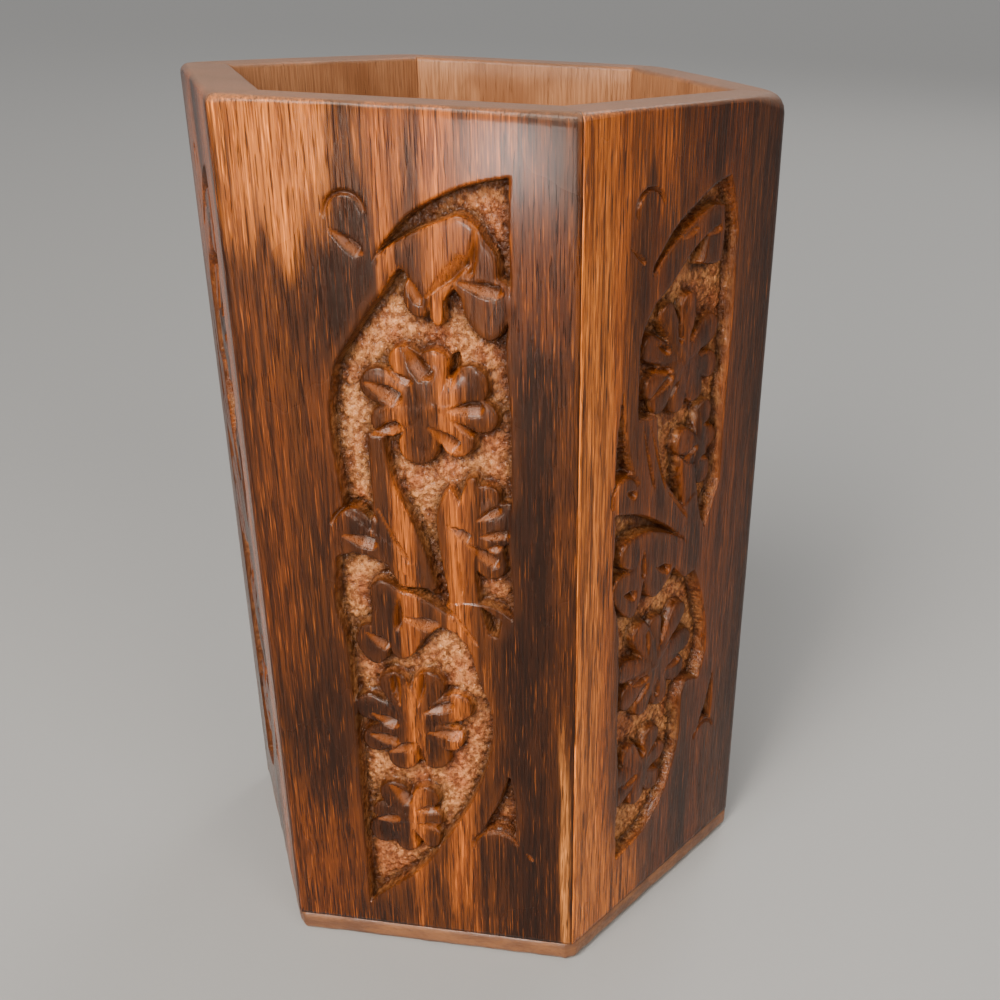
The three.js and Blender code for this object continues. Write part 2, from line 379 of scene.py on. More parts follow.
def scroll_and_blossom() -> Design:
    """The pattern on every other face: two D-shaped recesses about a band like a long letter S.

    Returns:
        The design in millimetres on a face 35.5 wide and 102 high.
    """
    upper = Recess(
        outline=(
            (28.4, 95.9), (28.3, 72.0), (28.3, 49.3), (25.8, 50.9), (23.0, 50.8), (20.2, 50.0),
            (18.7, 53.4), (16.4, 56.4), (13.4, 58.4), (10.0, 60.6), (9.5, 66.0), (9.5, 71.0),
            (10.2, 76.0), (11.4, 80.2), (13.0, 84.3), (15.2, 87.9), (17.9, 91.0), (20.6, 93.2),
            (24.2, 94.9),
        ),
        corners=(0, 2, 5, 9),
    )
    lower = Recess(
        outline=(
            (8.8, 55.4), (11.2, 56.0), (14.2, 55.0), (17.2, 53.3), (20.2, 50.9), (23.3, 47.1),
            (24.2, 41.6), (25.6, 37.2), (25.8, 33.2), (24.9, 28.8), (23.2, 24.0), (20.8, 19.2),
            (18.0, 15.0), (14.8, 11.2), (12.0, 8.4), (9.5, 6.0), (9.6, 28.0), (9.0, 44.0),
            (8.2, 49.0),
        ),
        corners=(0, 5, 15),
    )
    nick = Recess(outline=((24.6, 50.8), (27.0, 49.3), (26.7, 47.1), (25.6, 47.4)), corners=(0, 1, 2))
    teardrop = Recess(
        outline=((27.7, 28.6), (28.5, 24.0), (28.4, 19.0), (26.9, 20.3), (25.2, 20.0),
                 (24.1, 18.9), (25.2, 21.6), (26.5, 24.4)),
        corners=(0, 2, 5),
    )
    scroll = Raised(
        outline=(
            (5.0, 76.6), (10.4, 76.9), (12.2, 79.8), (14.3, 82.9), (15.7, 84.5), (16.7, 86.0),
            (17.7, 87.0), (18.3, 86.2), (17.8, 84.4), (18.3, 82.9), (19.4, 82.4), (20.1, 83.2),
            (20.3, 84.6), (20.4, 82.5), (21.0, 81.7), (21.6, 82.3), (21.8, 84.2), (22.8, 85.4),
            (23.5, 84.4), (23.9, 82.7), (24.9, 81.2), (26.3, 80.3), (27.5, 80.9), (28.3, 82.8),
            (28.5, 84.8), (28.0, 86.0), (27.1, 86.6), (27.0, 88.6), (25.9, 90.2), (25.0, 91.5),
            (23.6, 92.2), (22.2, 91.7), (20.4, 90.9), (18.4, 89.9), (16.7, 88.9), (15.0, 87.6),
            (13.3, 86.0), (11.9, 84.6), (5.0, 84.6),
        ),
        corners=(0, 1, 6, 12, 17, 26, 37, 38),
    )
    leaf = Raised(
        outline=(
            (27.4, 44.6), (24.6, 47.4), (22.4, 48.3), (20.3, 49.5), (17.8, 51.0), (15.8, 51.5),
            (14.8, 52.3), (13.4, 52.6), (12.3, 51.5), (12.3, 48.8), (12.0, 47.0), (10.7, 46.5),
            (10.1, 44.9), (10.9, 43.0), (12.2, 42.1), (13.5, 42.7), (14.1, 44.4), (14.6, 43.2),
            (15.7, 42.8), (17.0, 43.7), (17.9, 45.1), (19.4, 46.6), (20.3, 47.2), (22.3, 46.3),
            (24.6, 42.6), (27.6, 40.6),
        ),
        corners=(0, 10, 16, 22, 24, 25),
    )
    left_stem = Raised(
        outline=(
            (13.4, 69.6), (15.1, 69.4), (15.5, 66.0), (16.4, 62.8), (17.9, 59.4), (19.0, 56.2),
            (19.8, 52.0), (16.0, 52.0), (12.8, 57.6), (13.4, 61.5), (13.3, 65.2),
        ),
        corners=(0, 1, 6, 7, 8),
        top=-0.05,
    )
    right_stem = Raised(
        outline=(
            (21.9, 64.2), (22.9, 62.6), (23.7, 65.2), (24.6, 65.4), (25.0, 62.0), (24.7, 58.0),
            (24.2, 54.4), (25.0, 46.6), (21.6, 47.0), (20.7, 55.0), (20.3, 60.0), (20.9, 62.6),
        ),
        corners=(0, 1, 2, 7, 8),
        top=-0.1,
    )
    bud = Raised(
        outline=((8.4, 57.4), (8.9, 59.6), (10.4, 60.9), (12.0, 60.6), (13.2, 59.2), (13.6, 57.4),
                 (14.6, 55.4), (11.2, 56.1)),
        corners=(0, 6),
        top=-0.12,
    )
    upper_blossom = Flower(
        heart=(19.9, 73.0),
        petals=(
            Petal(118, 5.3, 1.75), Petal(84, 4.7, 1.55), Petal(34, 5.0, 1.95),
            Petal(-9, 5.2, 1.85), Petal(-56, 4.6, 1.75), Petal(-108, 4.7, 2.0),
            Petal(-154, 4.9, 1.7), Petal(162, 5.5, 1.95),
        ),
        gouges=(
            Gouge((13.2, 75.1), (17.2, 73.2), 1.9, 1.1, 0.8),
            Gouge((21.6, 72.9), (25.6, 73.3), 1.7, 1.05, 0.8),
            Gouge((17.2, 79.6), (20.0, 75.8), 1.8, 1.1, 0.75),
            Gouge((19.6, 70.8), (22.9, 68.2), 1.9, 1.1, 0.8),
            Gouge((13.7, 69.3), (17.2, 70.7), 1.6, 0.9, 0.7),
            Gouge((21.9, 75.2), (22.7, 78.9), 1.2, 1.0, 0.5),
            Gouge((15.3, 76.4), (18.3, 75.4), 1.0, 0.6, 0.6),
            Gouge((21.8, 71.9), (24.4, 70.0), 1.0, 0.7, 0.6),
        ),
    )
    half_blossom = Flower(
        heart=(26.0, 59.6),
        petals=(
            Petal(97, 3.7, 1.45), Petal(45, 2.7, 1.55), Petal(-2, 1.5, 1.35),
            Petal(-90, 3.6, 1.9), Petal(-140, 1.7, 1.2), Petal(160, 1.3, 1.2),
        ),
        gouges=(
            Gouge((23.5, 58.0), (27.1, 55.7), 1.6, 1.0, 0.8),
            Gouge((24.6, 60.7), (27.3, 62.3), 1.1, 0.7, 0.7),
            Gouge((25.0, 59.0), (28.4, 59.5), 1.2, 0.75, 0.7),
            Gouge((25.1, 57.3), (27.4, 58.0), 0.9, 0.6, 0.5),
        ),
    )
    lower_blossom = Flower(
        heart=(16.3, 34.4),
        petals=(
            Petal(113, 5.1, 1.75), Petal(67, 5.2, 1.8), Petal(25, 5.6, 1.85), Petal(-24, 4.5, 1.75),
            Petal(-63, 5.3, 1.85), Petal(-106, 5.2, 1.95), Petal(-146, 5.3, 1.8),
            Petal(168, 5.3, 1.75),
        ),
        gouges=(
            Gouge((11.0, 32.1), (14.9, 31.2), 1.6, 0.95, 0.8),
            Gouge((18.2, 33.1), (22.2, 32.8), 1.5, 0.9, 0.8),
            Gouge((17.6, 35.7), (21.2, 37.1), 1.4, 0.9, 0.7),
            Gouge((11.4, 34.9), (14.8, 33.6), 1.4, 0.85, 0.7),
            Gouge((14.9, 36.4), (14.3, 40.6), 1.3, 0.95, 0.5),
            Gouge((17.0, 36.4), (17.5, 40.9), 1.2, 0.9, -0.5),
            Gouge((13.4, 29.7), (16.8, 31.3), 1.3, 0.8, 0.7),
            Gouge((16.9, 31.5), (17.3, 27.8), 1.2, 0.85, 0.4),
        ),
    )
    foot_blossom = Flower(
        heart=(15.0, 20.2),
        petals=(
            Petal(114, 3.6, 1.8), Petal(50, 3.9, 1.55), Petal(2, 2.8, 1.5), Petal(-50, 3.7, 1.6),
            Petal(-98, 3.7, 1.5), Petal(-140, 3.9, 1.85), Petal(172, 2.8, 1.5),
        ),
        gouges=(
            Gouge((13.0, 24.9), (15.5, 22.2), 1.6, 1.0, 0.75),
            Gouge((16.2, 19.4), (19.4, 18.9), 1.5, 0.9, 0.8),
            Gouge((11.2, 19.3), (14.2, 20.0), 1.3, 0.8, 0.7),
            Gouge((16.0, 21.4), (18.8, 21.7), 1.2, 0.75, 0.7),
            Gouge((15.3, 18.6), (16.4, 15.5), 1.1, 0.75, 0.4),
        ),
    )
    loose_gouges = (
        Gouge((10.8, 90.2), (14.1, 88.0), 1.3, 0.8, 0.75),  # under the upper hoop
        Gouge((19.9, 84.3), (24.5, 88.7), 1.6, 0.7, -0.7),  # down the middle of the scroll's leaf
        Gouge((23.3, 86.0), (27.7, 85.0), 1.5, 0.95, 0.8),
        Gouge((25.3, 91.4), (24.2, 86.2), 1.0, 0.7, 0.5),
        Gouge((17.6, 87.2), (19.6, 83.6), 1.0, 0.45, 0.5),
        Gouge((9.7, 57.9), (13.8, 57.0), 1.5, 0.9, 0.8),  # in the bud
        Gouge((13.8, 61.4), (17.4, 54.8), 0.5, 0.45, 0.2),  # veins in the stems
        Gouge((21.4, 59.8), (24.1, 58.4), 1.3, 0.85, 0.75),
        Gouge((22.4, 57.5), (22.7, 51.5), 0.45, 0.35, 0.2),
        Gouge((20.2, 51.2), (24.6, 45.4), 0.5, 0.35, 0.3),  # where the two bands cross
        Gouge((15.8, 48.0), (20.3, 46.9), 1.8, 0.9, 0.8),  # in the lower leaf
        Gouge((15.7, 51.3), (15.2, 46.3), 1.1, 0.9, 0.4),
        Gouge((11.4, 46.0), (14.2, 44.2), 1.3, 0.85, 0.7),
        Gouge((29.6, 17.0), (30.5, 15.8), 0.5, 0.3, 0.0),  # a slip of the tool
    )
    hoops = (
        Hoop((12.6, 91.7), 2.05, 5, 190),
        Hoop((11.3, 58.4), 2.75, 25, 165, 0.6, 0.8),
        Hoop((26.0, 17.3), 2.55, 12, 192),
    )
    return Design(
        recesses=(upper, lower, nick, teardrop),
        raised=(scroll, leaf, left_stem, right_stem, bud),
        flowers=(upper_blossom, half_blossom, lower_blossom, foot_blossom),
        gouges=loose_gouges,
        hoops=hoops,
    )


def ribbon_and_blossom() -> Design:
    """The same pattern as it is cut on the faces between, simpler and further left.

    Returns:
        The design in millimetres on a face 35.5 wide and 102 high.
    """
    upper = Recess(
        outline=(
            (24.9, 94.3), (26.0, 91.5), (26.9, 88.2), (26.8, 74.0), (26.9, 58.4), (25.0, 54.4),
            (24.2, 52.8), (22.8, 55.4), (22.0, 58.0), (19.6, 57.0), (17.2, 59.4), (15.2, 62.2),
            (13.9, 66.0), (13.3, 69.8), (9.8, 70.2), (9.7, 74.5), (9.9, 78.4), (10.8, 80.6),
            (12.1, 82.3), (10.4, 84.4), (11.5, 86.7), (13.6, 88.7), (16.2, 90.8), (19.2, 92.5),
            (22.0, 93.6),
        ),
        corners=(0, 2, 4, 6, 13, 14, 18, 19, 20),
    )
    sliver = Recess(
        outline=((6.9, 74.6), (7.4, 71.4), (8.2, 67.8), (9.6, 64.2), (6.2, 63.8), (6.3, 69.6)),
        corners=(0, 3, 4),
    )
    lower = Recess(
        outline=(
            (6.2, 60.1), (8.4, 59.6), (11.2, 58.7), (14.2, 57.0), (17.4, 54.7), (20.4, 52.4),
            (21.2, 49.6), (23.0, 46.6), (24.8, 42.4), (25.9, 38.0), (26.1, 34.0), (25.0, 30.6),
            (22.4, 31.4), (21.4, 29.6), (21.2, 24.6), (19.9, 19.8), (17.6, 15.4), (14.0, 12.2),
            (8.5, 11.0), (8.3, 22.0), (7.7, 33.0), (7.4, 45.0), (6.5, 51.0),
        ),
        corners=(0, 5, 11, 13, 18),
    )
    teardrop = Recess(
        outline=((28.3, 30.2), (28.7, 26.2), (28.6, 22.4), (27.2, 23.4), (25.6, 22.8), (27.2, 26.2)),
        corners=(0, 2, 4),
    )
    ribbon = Raised(
        outline=(
            (7.0, 80.6), (9.6, 79.8), (12.0, 82.2), (14.0, 83.4), (16.6, 85.4), (19.1, 87.3),
            (21.3, 88.4), (20.8, 86.6), (20.4, 85.4), (22.6, 85.0), (24.2, 85.2), (24.5, 88.2),
            (24.3, 91.2), (22.4, 91.5), (19.4, 90.7), (16.9, 89.4), (14.0, 87.7), (11.6, 85.9),
            (7.0, 86.4),
        ),
        corners=(0, 1, 6, 8, 10, 12, 17, 18),
    )
    leaf = Raised(
        outline=(
            (24.4, 47.6), (21.6, 51.4), (19.0, 53.2), (15.8, 54.9), (12.4, 56.2), (9.2, 56.2),
            (7.9, 55.0), (8.4, 53.2), (10.0, 52.3), (7.4, 52.0), (6.7, 50.2), (7.8, 47.8),
            (10.0, 46.0), (11.6, 47.8), (12.3, 50.2), (13.2, 47.8), (14.8, 47.0), (17.0, 48.4),
            (18.2, 49.6), (20.6, 47.2),
        ),
        corners=(0, 8, 14, 18, 19),
    )
    stem = Raised(
        outline=((18.6, 63.6), (19.9, 62.6), (21.6, 62.0), (22.6, 58.2), (24.0, 52.4), (22.0, 49.6),
                 (19.4, 53.0), (19.4, 58.0)),
        corners=(0, 2, 4, 5, 6),
        top=-0.1,
    )
    upper_blossom = Flower(
        heart=(18.2, 75.0),
        petals=(
            Petal(119, 6.4, 1.3), Petal(82, 6.2, 1.3), Petal(28, 5.5, 1.75), Petal(-14, 5.6, 1.6),
            Petal(-56, 4.6, 1.7), Petal(-98, 4.4, 1.7), Petal(-137, 5.4, 1.6), Petal(-163, 5.6, 1.4),
            Petal(157, 6.2, 1.4),
        ),
        gouges=(
            Gouge((12.6, 71.9), (16.3, 73.7), 1.2, 0.9, 0.7),
            Gouge((20.9, 79.3), (19.0, 76.8), 1.2, 0.9, -0.6),
            Gouge((12.8, 74.9), (16.0, 74.2), 1.0, 0.8, 0.6),
            Gouge((16.9, 80.4), (17.4, 77.0), 1.0, 0.8, 0.4),
            Gouge((24.2, 75.2), (20.9, 75.1), 1.1, 0.8, -0.7),
            Gouge((15.4, 70.4), (17.3, 72.6), 0.9, 0.7, 0.5),
            Gouge((13.2, 77.7), (15.6, 76.3), 1.0, 0.7, 0.6),
        ),
    )
    half_blossom = Flower(
        heart=(22.2, 64.0),
        petals=(
            Petal(72, 4.0, 1.5), Petal(8, 2.6, 1.45), Petal(-68, 3.6, 1.7), Petal(-140, 2.8, 1.3),
            Petal(158, 3.0, 1.5),
        ),
        gouges=(
            Gouge((22.8, 66.4), (25.6, 66.2), 1.3, 0.8, 0.6),
            Gouge((22.4, 62.4), (25.6, 62.0), 1.1, 0.7, 0.6),
            Gouge((19.4, 62.9), (21.8, 64.2), 0.9, 0.7, 0.5),
        ),
    )
    lower_blossom = Flower(
        heart=(15.8, 37.2),
        petals=(
            Petal(122, 6.2, 1.6), Petal(90, 5.2, 1.4), Petal(48, 6.6, 1.6), Petal(6, 6.0, 1.7),
            Petal(-34, 5.6, 1.8), Petal(-74, 5.4, 1.7), Petal(-112, 5.2, 1.7), Petal(-150, 6.0, 1.6),
            Petal(170, 6.2, 1.5),
        ),
        gouges=(
            Gouge((10.8, 35.9), (14.4, 35.6), 1.2, 0.8, 0.7),
            Gouge((17.4, 38.6), (21.4, 40.0), 1.2, 0.8, 0.7),
            Gouge((17.6, 35.2), (21.6, 35.0), 1.2, 0.8, 0.7),
            Gouge((13.9, 39.2), (13.6, 42.6), 1.0, 0.8, 0.4),
            Gouge((16.6, 39.4), (17.6, 42.9), 1.0, 0.8, -0.4),
            Gouge((12.0, 32.6), (14.6, 34.9), 1.0, 0.7, 0.5),
            Gouge((16.4, 34.6), (16.7, 31.6), 1.0, 0.7, 0.4),
        ),
    )
    foot_blossom = Flower(
        heart=(13.6, 22.6),
        petals=(
            Petal(128, 4.0, 1.6), Petal(60, 4.2, 1.6), Petal(8, 3.6, 1.6), Petal(-52, 4.2, 1.7),
            Petal(-100, 3.9, 1.5), Petal(-146, 4.4, 1.5), Petal(176, 4.0, 1.5),
        ),
        gouges=(
            Gouge((12.6, 27.2), (14.0, 24.2), 1.3, 0.9, 0.6),
            Gouge((14.8, 21.6), (17.9, 20.6), 1.2, 0.8, 0.7),
            Gouge((9.8, 21.2), (12.6, 22.0), 1.1, 0.7, 0.6),
            Gouge((14.6, 23.9), (17.2, 24.8), 1.0, 0.7, 0.6),
        ),
    )
    loose_gouges = (
        Gouge((7.3, 88.9), (10.0, 87.0), 0.6, 0.4, 0.5),
        Gouge((16.4, 88.6), (19.4, 89.5), 0.9, 0.45, 0.5),  # along the ribbon
        Gouge((21.0, 88.4), (23.9, 88.9), 0.9, 0.4, 0.4),
        Gouge((8.2, 62.2), (10.0, 61.2), 1.2, 0.6, 0.6),  # in the bud
        Gouge((10.6, 69.8), (13.4, 61.0), 0.5, 0.4, 0.3),  # veins of the joined stem
        Gouge((12.0, 69.4), (15.6, 60.4), 0.45, 0.35, 0.2),
        Gouge((15.6, 60.6), (20.4, 55.2), 0.5, 0.4, 0.2),
        Gouge((8.4, 49.6), (10.8, 48.6), 1.4, 0.9, 0.7),  # in the lower leaf
        Gouge((14.4, 50.9), (17.4, 49.6), 1.3, 0.8, 0.7),
        Gouge((11.9, 54.2), (12.2, 50.4), 1.0, 0.8, 0.4),
    )
    hoops = (
        Hoop((10.8, 92.0), 2.25, 12, 196),
        Hoop((8.1, 61.8), 2.35, 20, 205, 0.6, 0.75),
        Hoop((27.0, 20.4), 2.3, 12, 170),
    )
    return Design(
        recesses=(upper, sliver, lower, teardrop),
        raised=(ribbon, leaf, stem),
        flowers=(upper_blossom, half_blossom, lower_blossom, foot_blossom),
        gouges=loose_gouges,
        hoops=hoops,
    )


@dataclass(frozen=True)
class Hand:
    """How one face strays from the pattern, as hand work does."""

    seed: int
    drift_up: float = 0.0  # the upper half of the pattern, mm to the right
    drift_low: float = 0.0  # the lower half


@dataclass(frozen=True)
class Relief:
    """The carved surface of one face as a height and four masks over a grid of places."""

    design: Design
    hand: Hand
    drift_middle: float = 51.0  # the two halves of the pattern drift apart about this height
    drift_run: float = 9.0
    waver: float = 0.28  # how far a cut line strays
    waver_cell: Point = (6.0, 7.0)
    wall_width: float = 0.26  # of the slope between the face and the ground
    wall_far: float = 9.0  # stands for "no wall near"
    soften: int = 5  # grid steps of the local mean
    hollow_shade_depth: float = 0.5  # below the local mean, where the painted shade, partly stain pooling, is darkest
    rubbed_highlight_height: float = 0.35  # above it, where an edge is rubbed most and its painted highlight is brightest
    ground_depth: float = 1.55
    ground_swell: float = 0.2
    ground_cell: Point = (3.1, 3.6)
    wall_foot: float = 0.2  # how much deeper the ground lies along a wall
    wall_foot_width: float = 0.8
    punch_pitch: float = 0.86
    punch_relief: float = 0.36
    punch_row: Point = (0.83, 0.56)  # cosine and sine of the way the rows of marks run
    punch_head: float = 0.95  # radius of a mark's floor, in pitches
    punch_level: float = 0.55
    crease: float = 0.6  # depth of the line between two marks, as a share
    crease_width: float = 0.13
    force_mean: float = 0.8  # how hard the punch was struck
    force_stray: float = 0.4
    force_cell: Point = (2.3, 2.3)

    def shape(self, u: Array, v: Array) -> Dict[str, Array]:
        """Work out the surface over places u across and v up the face.

        Args:
            u: Places across, in millimetres from the left arris.
            v: Places up, in millimetres from the underside of the cup.

        Returns:
            The height above the plain face, never positive, and the masks "ground" (punched),
            "cut" (bare gouge cuts), "hollow_shade_and_stain" (painted shade in hollows, partly stain
            pooling) and "worn" (rubbed edges, partly a painted highlight).
        """
        hand = self.hand
        blend = smooth_step((v - self.drift_middle) / self.drift_run + 0.5)
        u = u - hand.drift_low * (1 - blend) - hand.drift_up * blend
        u = u + self.waver * value_noise(u, v, self.waver_cell, hand.seed)
        v = v + self.waver * value_noise(u, v, self.waver_cell[::-1], hand.seed + 1)

        sunk = np.zeros(u.shape)
        wall = np.full(u.shape, self.wall_far)
        for recess in self.design.recesses:
            d = inside_distance(u, v, curve_through(recess.outline, recess.corners))
            sunk = np.maximum(sunk, smooth_step(d / self.wall_width))
            wall = np.where(d > 0, np.minimum(wall, d), wall)

        tops = [self._raised(u, v, piece) for piece in self.design.raised]
        tops += [self._flower(u, v, flower) for flower in self.design.flowers]
        height = -self._ground(u, v, sunk, wall, [d for d, _ in tops])
        ground = sunk.copy()
        for d, top in tops:
            stands = smooth_step(1.0 + d / self.wall_width)
            height = height * (1 - stands) + np.maximum(top, height) * stands
            ground = ground * (1 - stands)

        cuts = [self._gouge(u, v, gouge) for gouge in self._gouges()]
        cuts += [self._hoop(u, v, hoop) for hoop in self.design.hoops]
        cut = np.zeros(u.shape)
        for depth, bare in cuts:
            height = height - depth
            cut = np.maximum(cut, bare)

        soft = blurred(height, self.soften)
        # Painted shade, partly stain pooling: darkest where the surface lies below its local mean.
        hollow_shade_and_stain = np.clip((soft - height) / self.hollow_shade_depth, 0.0, 1.0)
        # Rubbed wear, partly a painted highlight: paler where the surface stands above its local mean.
        worn = np.clip((height - soft) / self.rubbed_highlight_height, 0.0, 1.0)
        return {"height": height, "ground": ground, "cut": cut, "hollow_shade_and_stain": hollow_shade_and_stain, "worn": worn}

    def _gouges(self) -> List[Gouge]:
        """Every gouge cut on this face."""
        cuts = list(self.design.gouges)
        for flower in self.design.flowers:
            cuts.extend(flower.gouges)
        return cuts

    def _ground(self, u: Array, v: Array, sunk: Array, wall: Array,
                standing: Sequence[Array]) -> Array:
        """Punch the ground, deepest along its walls.

        Args:
            u: Places across.
            v: Places up.
            sunk: How far each place is cut down, from 0 to 1.
            wall: Distance from each place to the recess's own wall.
            standing: Distance inside each piece of wood left standing.

        Returns:
            The depth of the ground below the face.
        """
        for d in standing:
            wall = np.where(d < 0, np.minimum(wall, -d), wall)
        seed, (cosine, sine) = self.hand.seed, self.punch_row
        p, q = cosine * u + sine * v, cosine * v - sine * u
        first, second = punch_marks(p, q, self.punch_pitch, seed + 2)
        away = np.clip(first / (self.punch_head * self.punch_pitch), 0.0, 1.0)
        crease = np.exp(-(second - first) / self.crease_width)
        marks = self.punch_relief * (self.punch_level - np.sqrt(1.0 - away**2) + self.crease * crease)
        force = self.force_mean + self.force_stray * value_noise(p, q, self.force_cell, seed + 3)
        swell = self.ground_swell * value_noise(p, q, self.ground_cell, seed + 4)
        foot = self.wall_foot * np.exp(-wall / self.wall_foot_width)
        return (self.ground_depth + swell + foot + marks * force) * sunk

    @staticmethod
    def _raised(u: Array, v: Array, piece: Raised) -> Tuple[Array, Array]:
        """Distance inside a raised piece's outline, and its top."""
        d = inside_distance(u, v, curve_through(piece.outline, piece.corners))
        return d, piece.top - piece.edge_drop * np.exp(-np.maximum(d, 0.0) / piece.round_over)

    def _flower(self, u: Array, v: Array, flower: Flower) -> Tuple[Array, Array]:
        """Shape one flower, each petal turned and lowered a little by chance.

        Args:
            u: Places across.
            v: Places up.
            flower: The flower to shape.

        Returns:
            The distance inside the flower's outline, and its top.
        """
        x, y = u - flower.heart[0], v - flower.heart[1]
        reach = np.full(u.shape, -np.inf)
        top = np.full(u.shape, -np.inf)
        rng = np.random.default_rng(self.hand.seed + int(10 * flower.heart[1]))
        for petal in flower.petals:
            angle = math.radians(petal.bearing + rng.uniform(-flower.stray, flower.stray))
            along = x * math.cos(angle) + y * math.sin(angle)
            aside = -x * math.sin(angle) + y * math.cos(angle)
            share = np.clip(along / petal.reach, 0.0, 1.0)
            radius = flower.waist + (petal.tip - flower.waist) * share**flower.widening
            inside = radius - np.hypot(along - share * petal.reach, aside)
            fall = flower.crown * np.clip(np.abs(aside) / radius, 0, flower.crown_end) ** 2
            droop = flower.droop * share**2 + flower.droop_stray * rng.uniform(-1, 1)
            lip = flower.lip * np.exp(-np.maximum(inside, 0) / flower.lip_width)
            height = flower.top - fall - droop - lip
            top = np.where(inside > -flower.skirt, np.maximum(top, height), top)
            reach = np.maximum(reach, inside)
        return reach, np.where(np.isfinite(top), top, -1.0)

    @staticmethod
    def _gouge(u: Array, v: Array, gouge: Gouge) -> Tuple[Array, Array]:
        """Make one lens-shaped V cut.

        Args:
            u: Places across.
            v: Places up.
            gouge: The cut to make.

        Returns:
            The depth of the cut, and how much of its bare wood shows.
        """
        (ax, ay), (bx, by) = gouge.start, gouge.end
        length = math.hypot(bx - ax, by - ay)
        ex, ey = (bx - ax) / length, (by - ay) / length
        along = ((u - ax) * ex + (v - ay) * ey) / length
        aside = -(u - ax) * ey + (v - ay) * ex
        ends = np.minimum((along + gouge.lead) / gouge.run_in, (1 - along) / gouge.run_out)
        swell = np.clip(ends, 0, 1)
        across = aside / np.maximum(gouge.width / 2 * swell, 1e-3)
        sides = np.minimum((across + 1) / (1 + gouge.lean), (1 - across) / (1 - gouge.lean))
        profile = np.clip(sides, 0, 1) * (along > 0) * (along < 1)
        return gouge.depth * swell * profile, smooth_step(profile * gouge.bare_edge)

    @staticmethod
    def _hoop(u: Array, v: Array, hoop: Hoop) -> Tuple[Array, Array]:
        """Make one hooped groove.

        Args:
            u: Places across.
            v: Places up.
            hoop: The groove to make.

        Returns:
            The depth of the groove, and how much of its bare wood shows.
        """
        x, y = u - hoop.centre[0], v - hoop.centre[1]
        angle = np.degrees(np.arctan2(y, x)) % 360
        share = (angle - hoop.start) / (hoop.end - hoop.start)
        swell = np.sqrt(np.clip(np.sin(np.pi * np.clip(share, 0, 1)), 0, 1))
        away = np.abs(np.hypot(x, y) - hoop.radius) / (hoop.width / 2)
        profile = np.clip(1 - away * away, 0, 1) * swell
        return hoop.depth * profile, hoop.bare * smooth_step(profile * hoop.bare_edge)


# ---------------------------------------------------------------------------------------
# Meshes
# ---------------------------------------------------------------------------------------


def mesh_object(name: str, vertices: Array, faces: Sequence[Sequence[int]],
                smooth: Sequence[bool]) -> bpy.types.Object:
    """Make a mesh object at the origin from points in millimetres.

    Args:
        name: Name of the piece.
        vertices: One row for each point.
        faces: Corner indices of each face, anticlockwise from outside.
        smooth: Whether each face is shaded smooth.

    Returns:
        The new object, linked to the scene.
    """
    mesh = bpy.data.meshes.new(name)
    mesh.from_pydata((vertices * MM).tolist(), [], faces)
    mesh.polygons.foreach_set("use_smooth", np.array(smooth, bool))
    mesh.validate()
    mesh.update()
    piece = bpy.data.objects.new(name, mesh)
    bpy.context.scene.collection.objects.link(piece)
    return piece


def apply_modifiers(piece: bpy.types.Object) -> None:
    """Turn a piece and its modifiers into a plain mesh.

    Args:
        piece: The object to change.
    """
    bpy.context.view_layer.update()
    evaluated = piece.evaluated_get(bpy.context.evaluated_depsgraph_get())
    mesh = bpy.data.meshes.new_from_object(evaluated)
    piece.modifiers.clear()
    old = piece.data
    piece.data = mesh
    mesh.name = piece.name
    bpy.data.meshes.remove(old)


def store_mask(piece: bpy.types.Object, name: str, values: Array) -> None:
    """Keep a value from 0 to 1 at each point of a mesh, for its material to read."""
    attribute = piece.data.attributes.new(name, "FLOAT", "POINT")
    attribute.data.foreach_set("value", values.astype(np.float32).ravel())


def fill(tree: bpy.types.NodeTree, socket: bpy.types.NodeSocket, value: object) -> None:
    """Link an input from another socket, or set it to a number, vector or colour.

    Args:
        tree: The node tree that holds both sockets.
        socket: The input.
        value: A socket to link, or a plain value.
    """
    if isinstance(value, bpy.types.NodeSocket):
        tree.links.new(value, socket)
    elif isinstance(value, tuple) and len(value) == 3 and socket.type == "RGBA":
        socket.default_value = (*value, 1.0)
    else:
        socket.default_value = value


def add_node(tree: bpy.types.NodeTree, kind: str, inputs: Dict[Union[str, int], object],
             **settings: str) -> bpy.types.Node:
    """Add a node to a tree.

    Args:
        tree: The node tree to add to.
        kind: The node's type.
        inputs: A socket or a value for each named or numbered input.
        **settings: The node's own options.

    Returns:
        The new node.
    """
    node = tree.nodes.new(kind)
    for name, option in settings.items():
        setattr(node, name, option)
    for name, value in inputs.items():
        fill(tree, node.inputs[name], value)
    return node


def settle(piece: bpy.types.Object, material: bpy.types.Material,
           nodes: Sequence[str]) -> None:
    """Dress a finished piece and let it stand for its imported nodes.

    Args:
        piece: The finished piece.
        material: Its finish.
        nodes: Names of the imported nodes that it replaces.
    """
    piece.data.materials.clear()
    piece.data.materials.append(material)
    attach(piece, "root")
    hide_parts(*nodes)
    LOG.info("%s: %d faces, for %s", piece.name, len(piece.data.polygons), ", ".join(nodes))


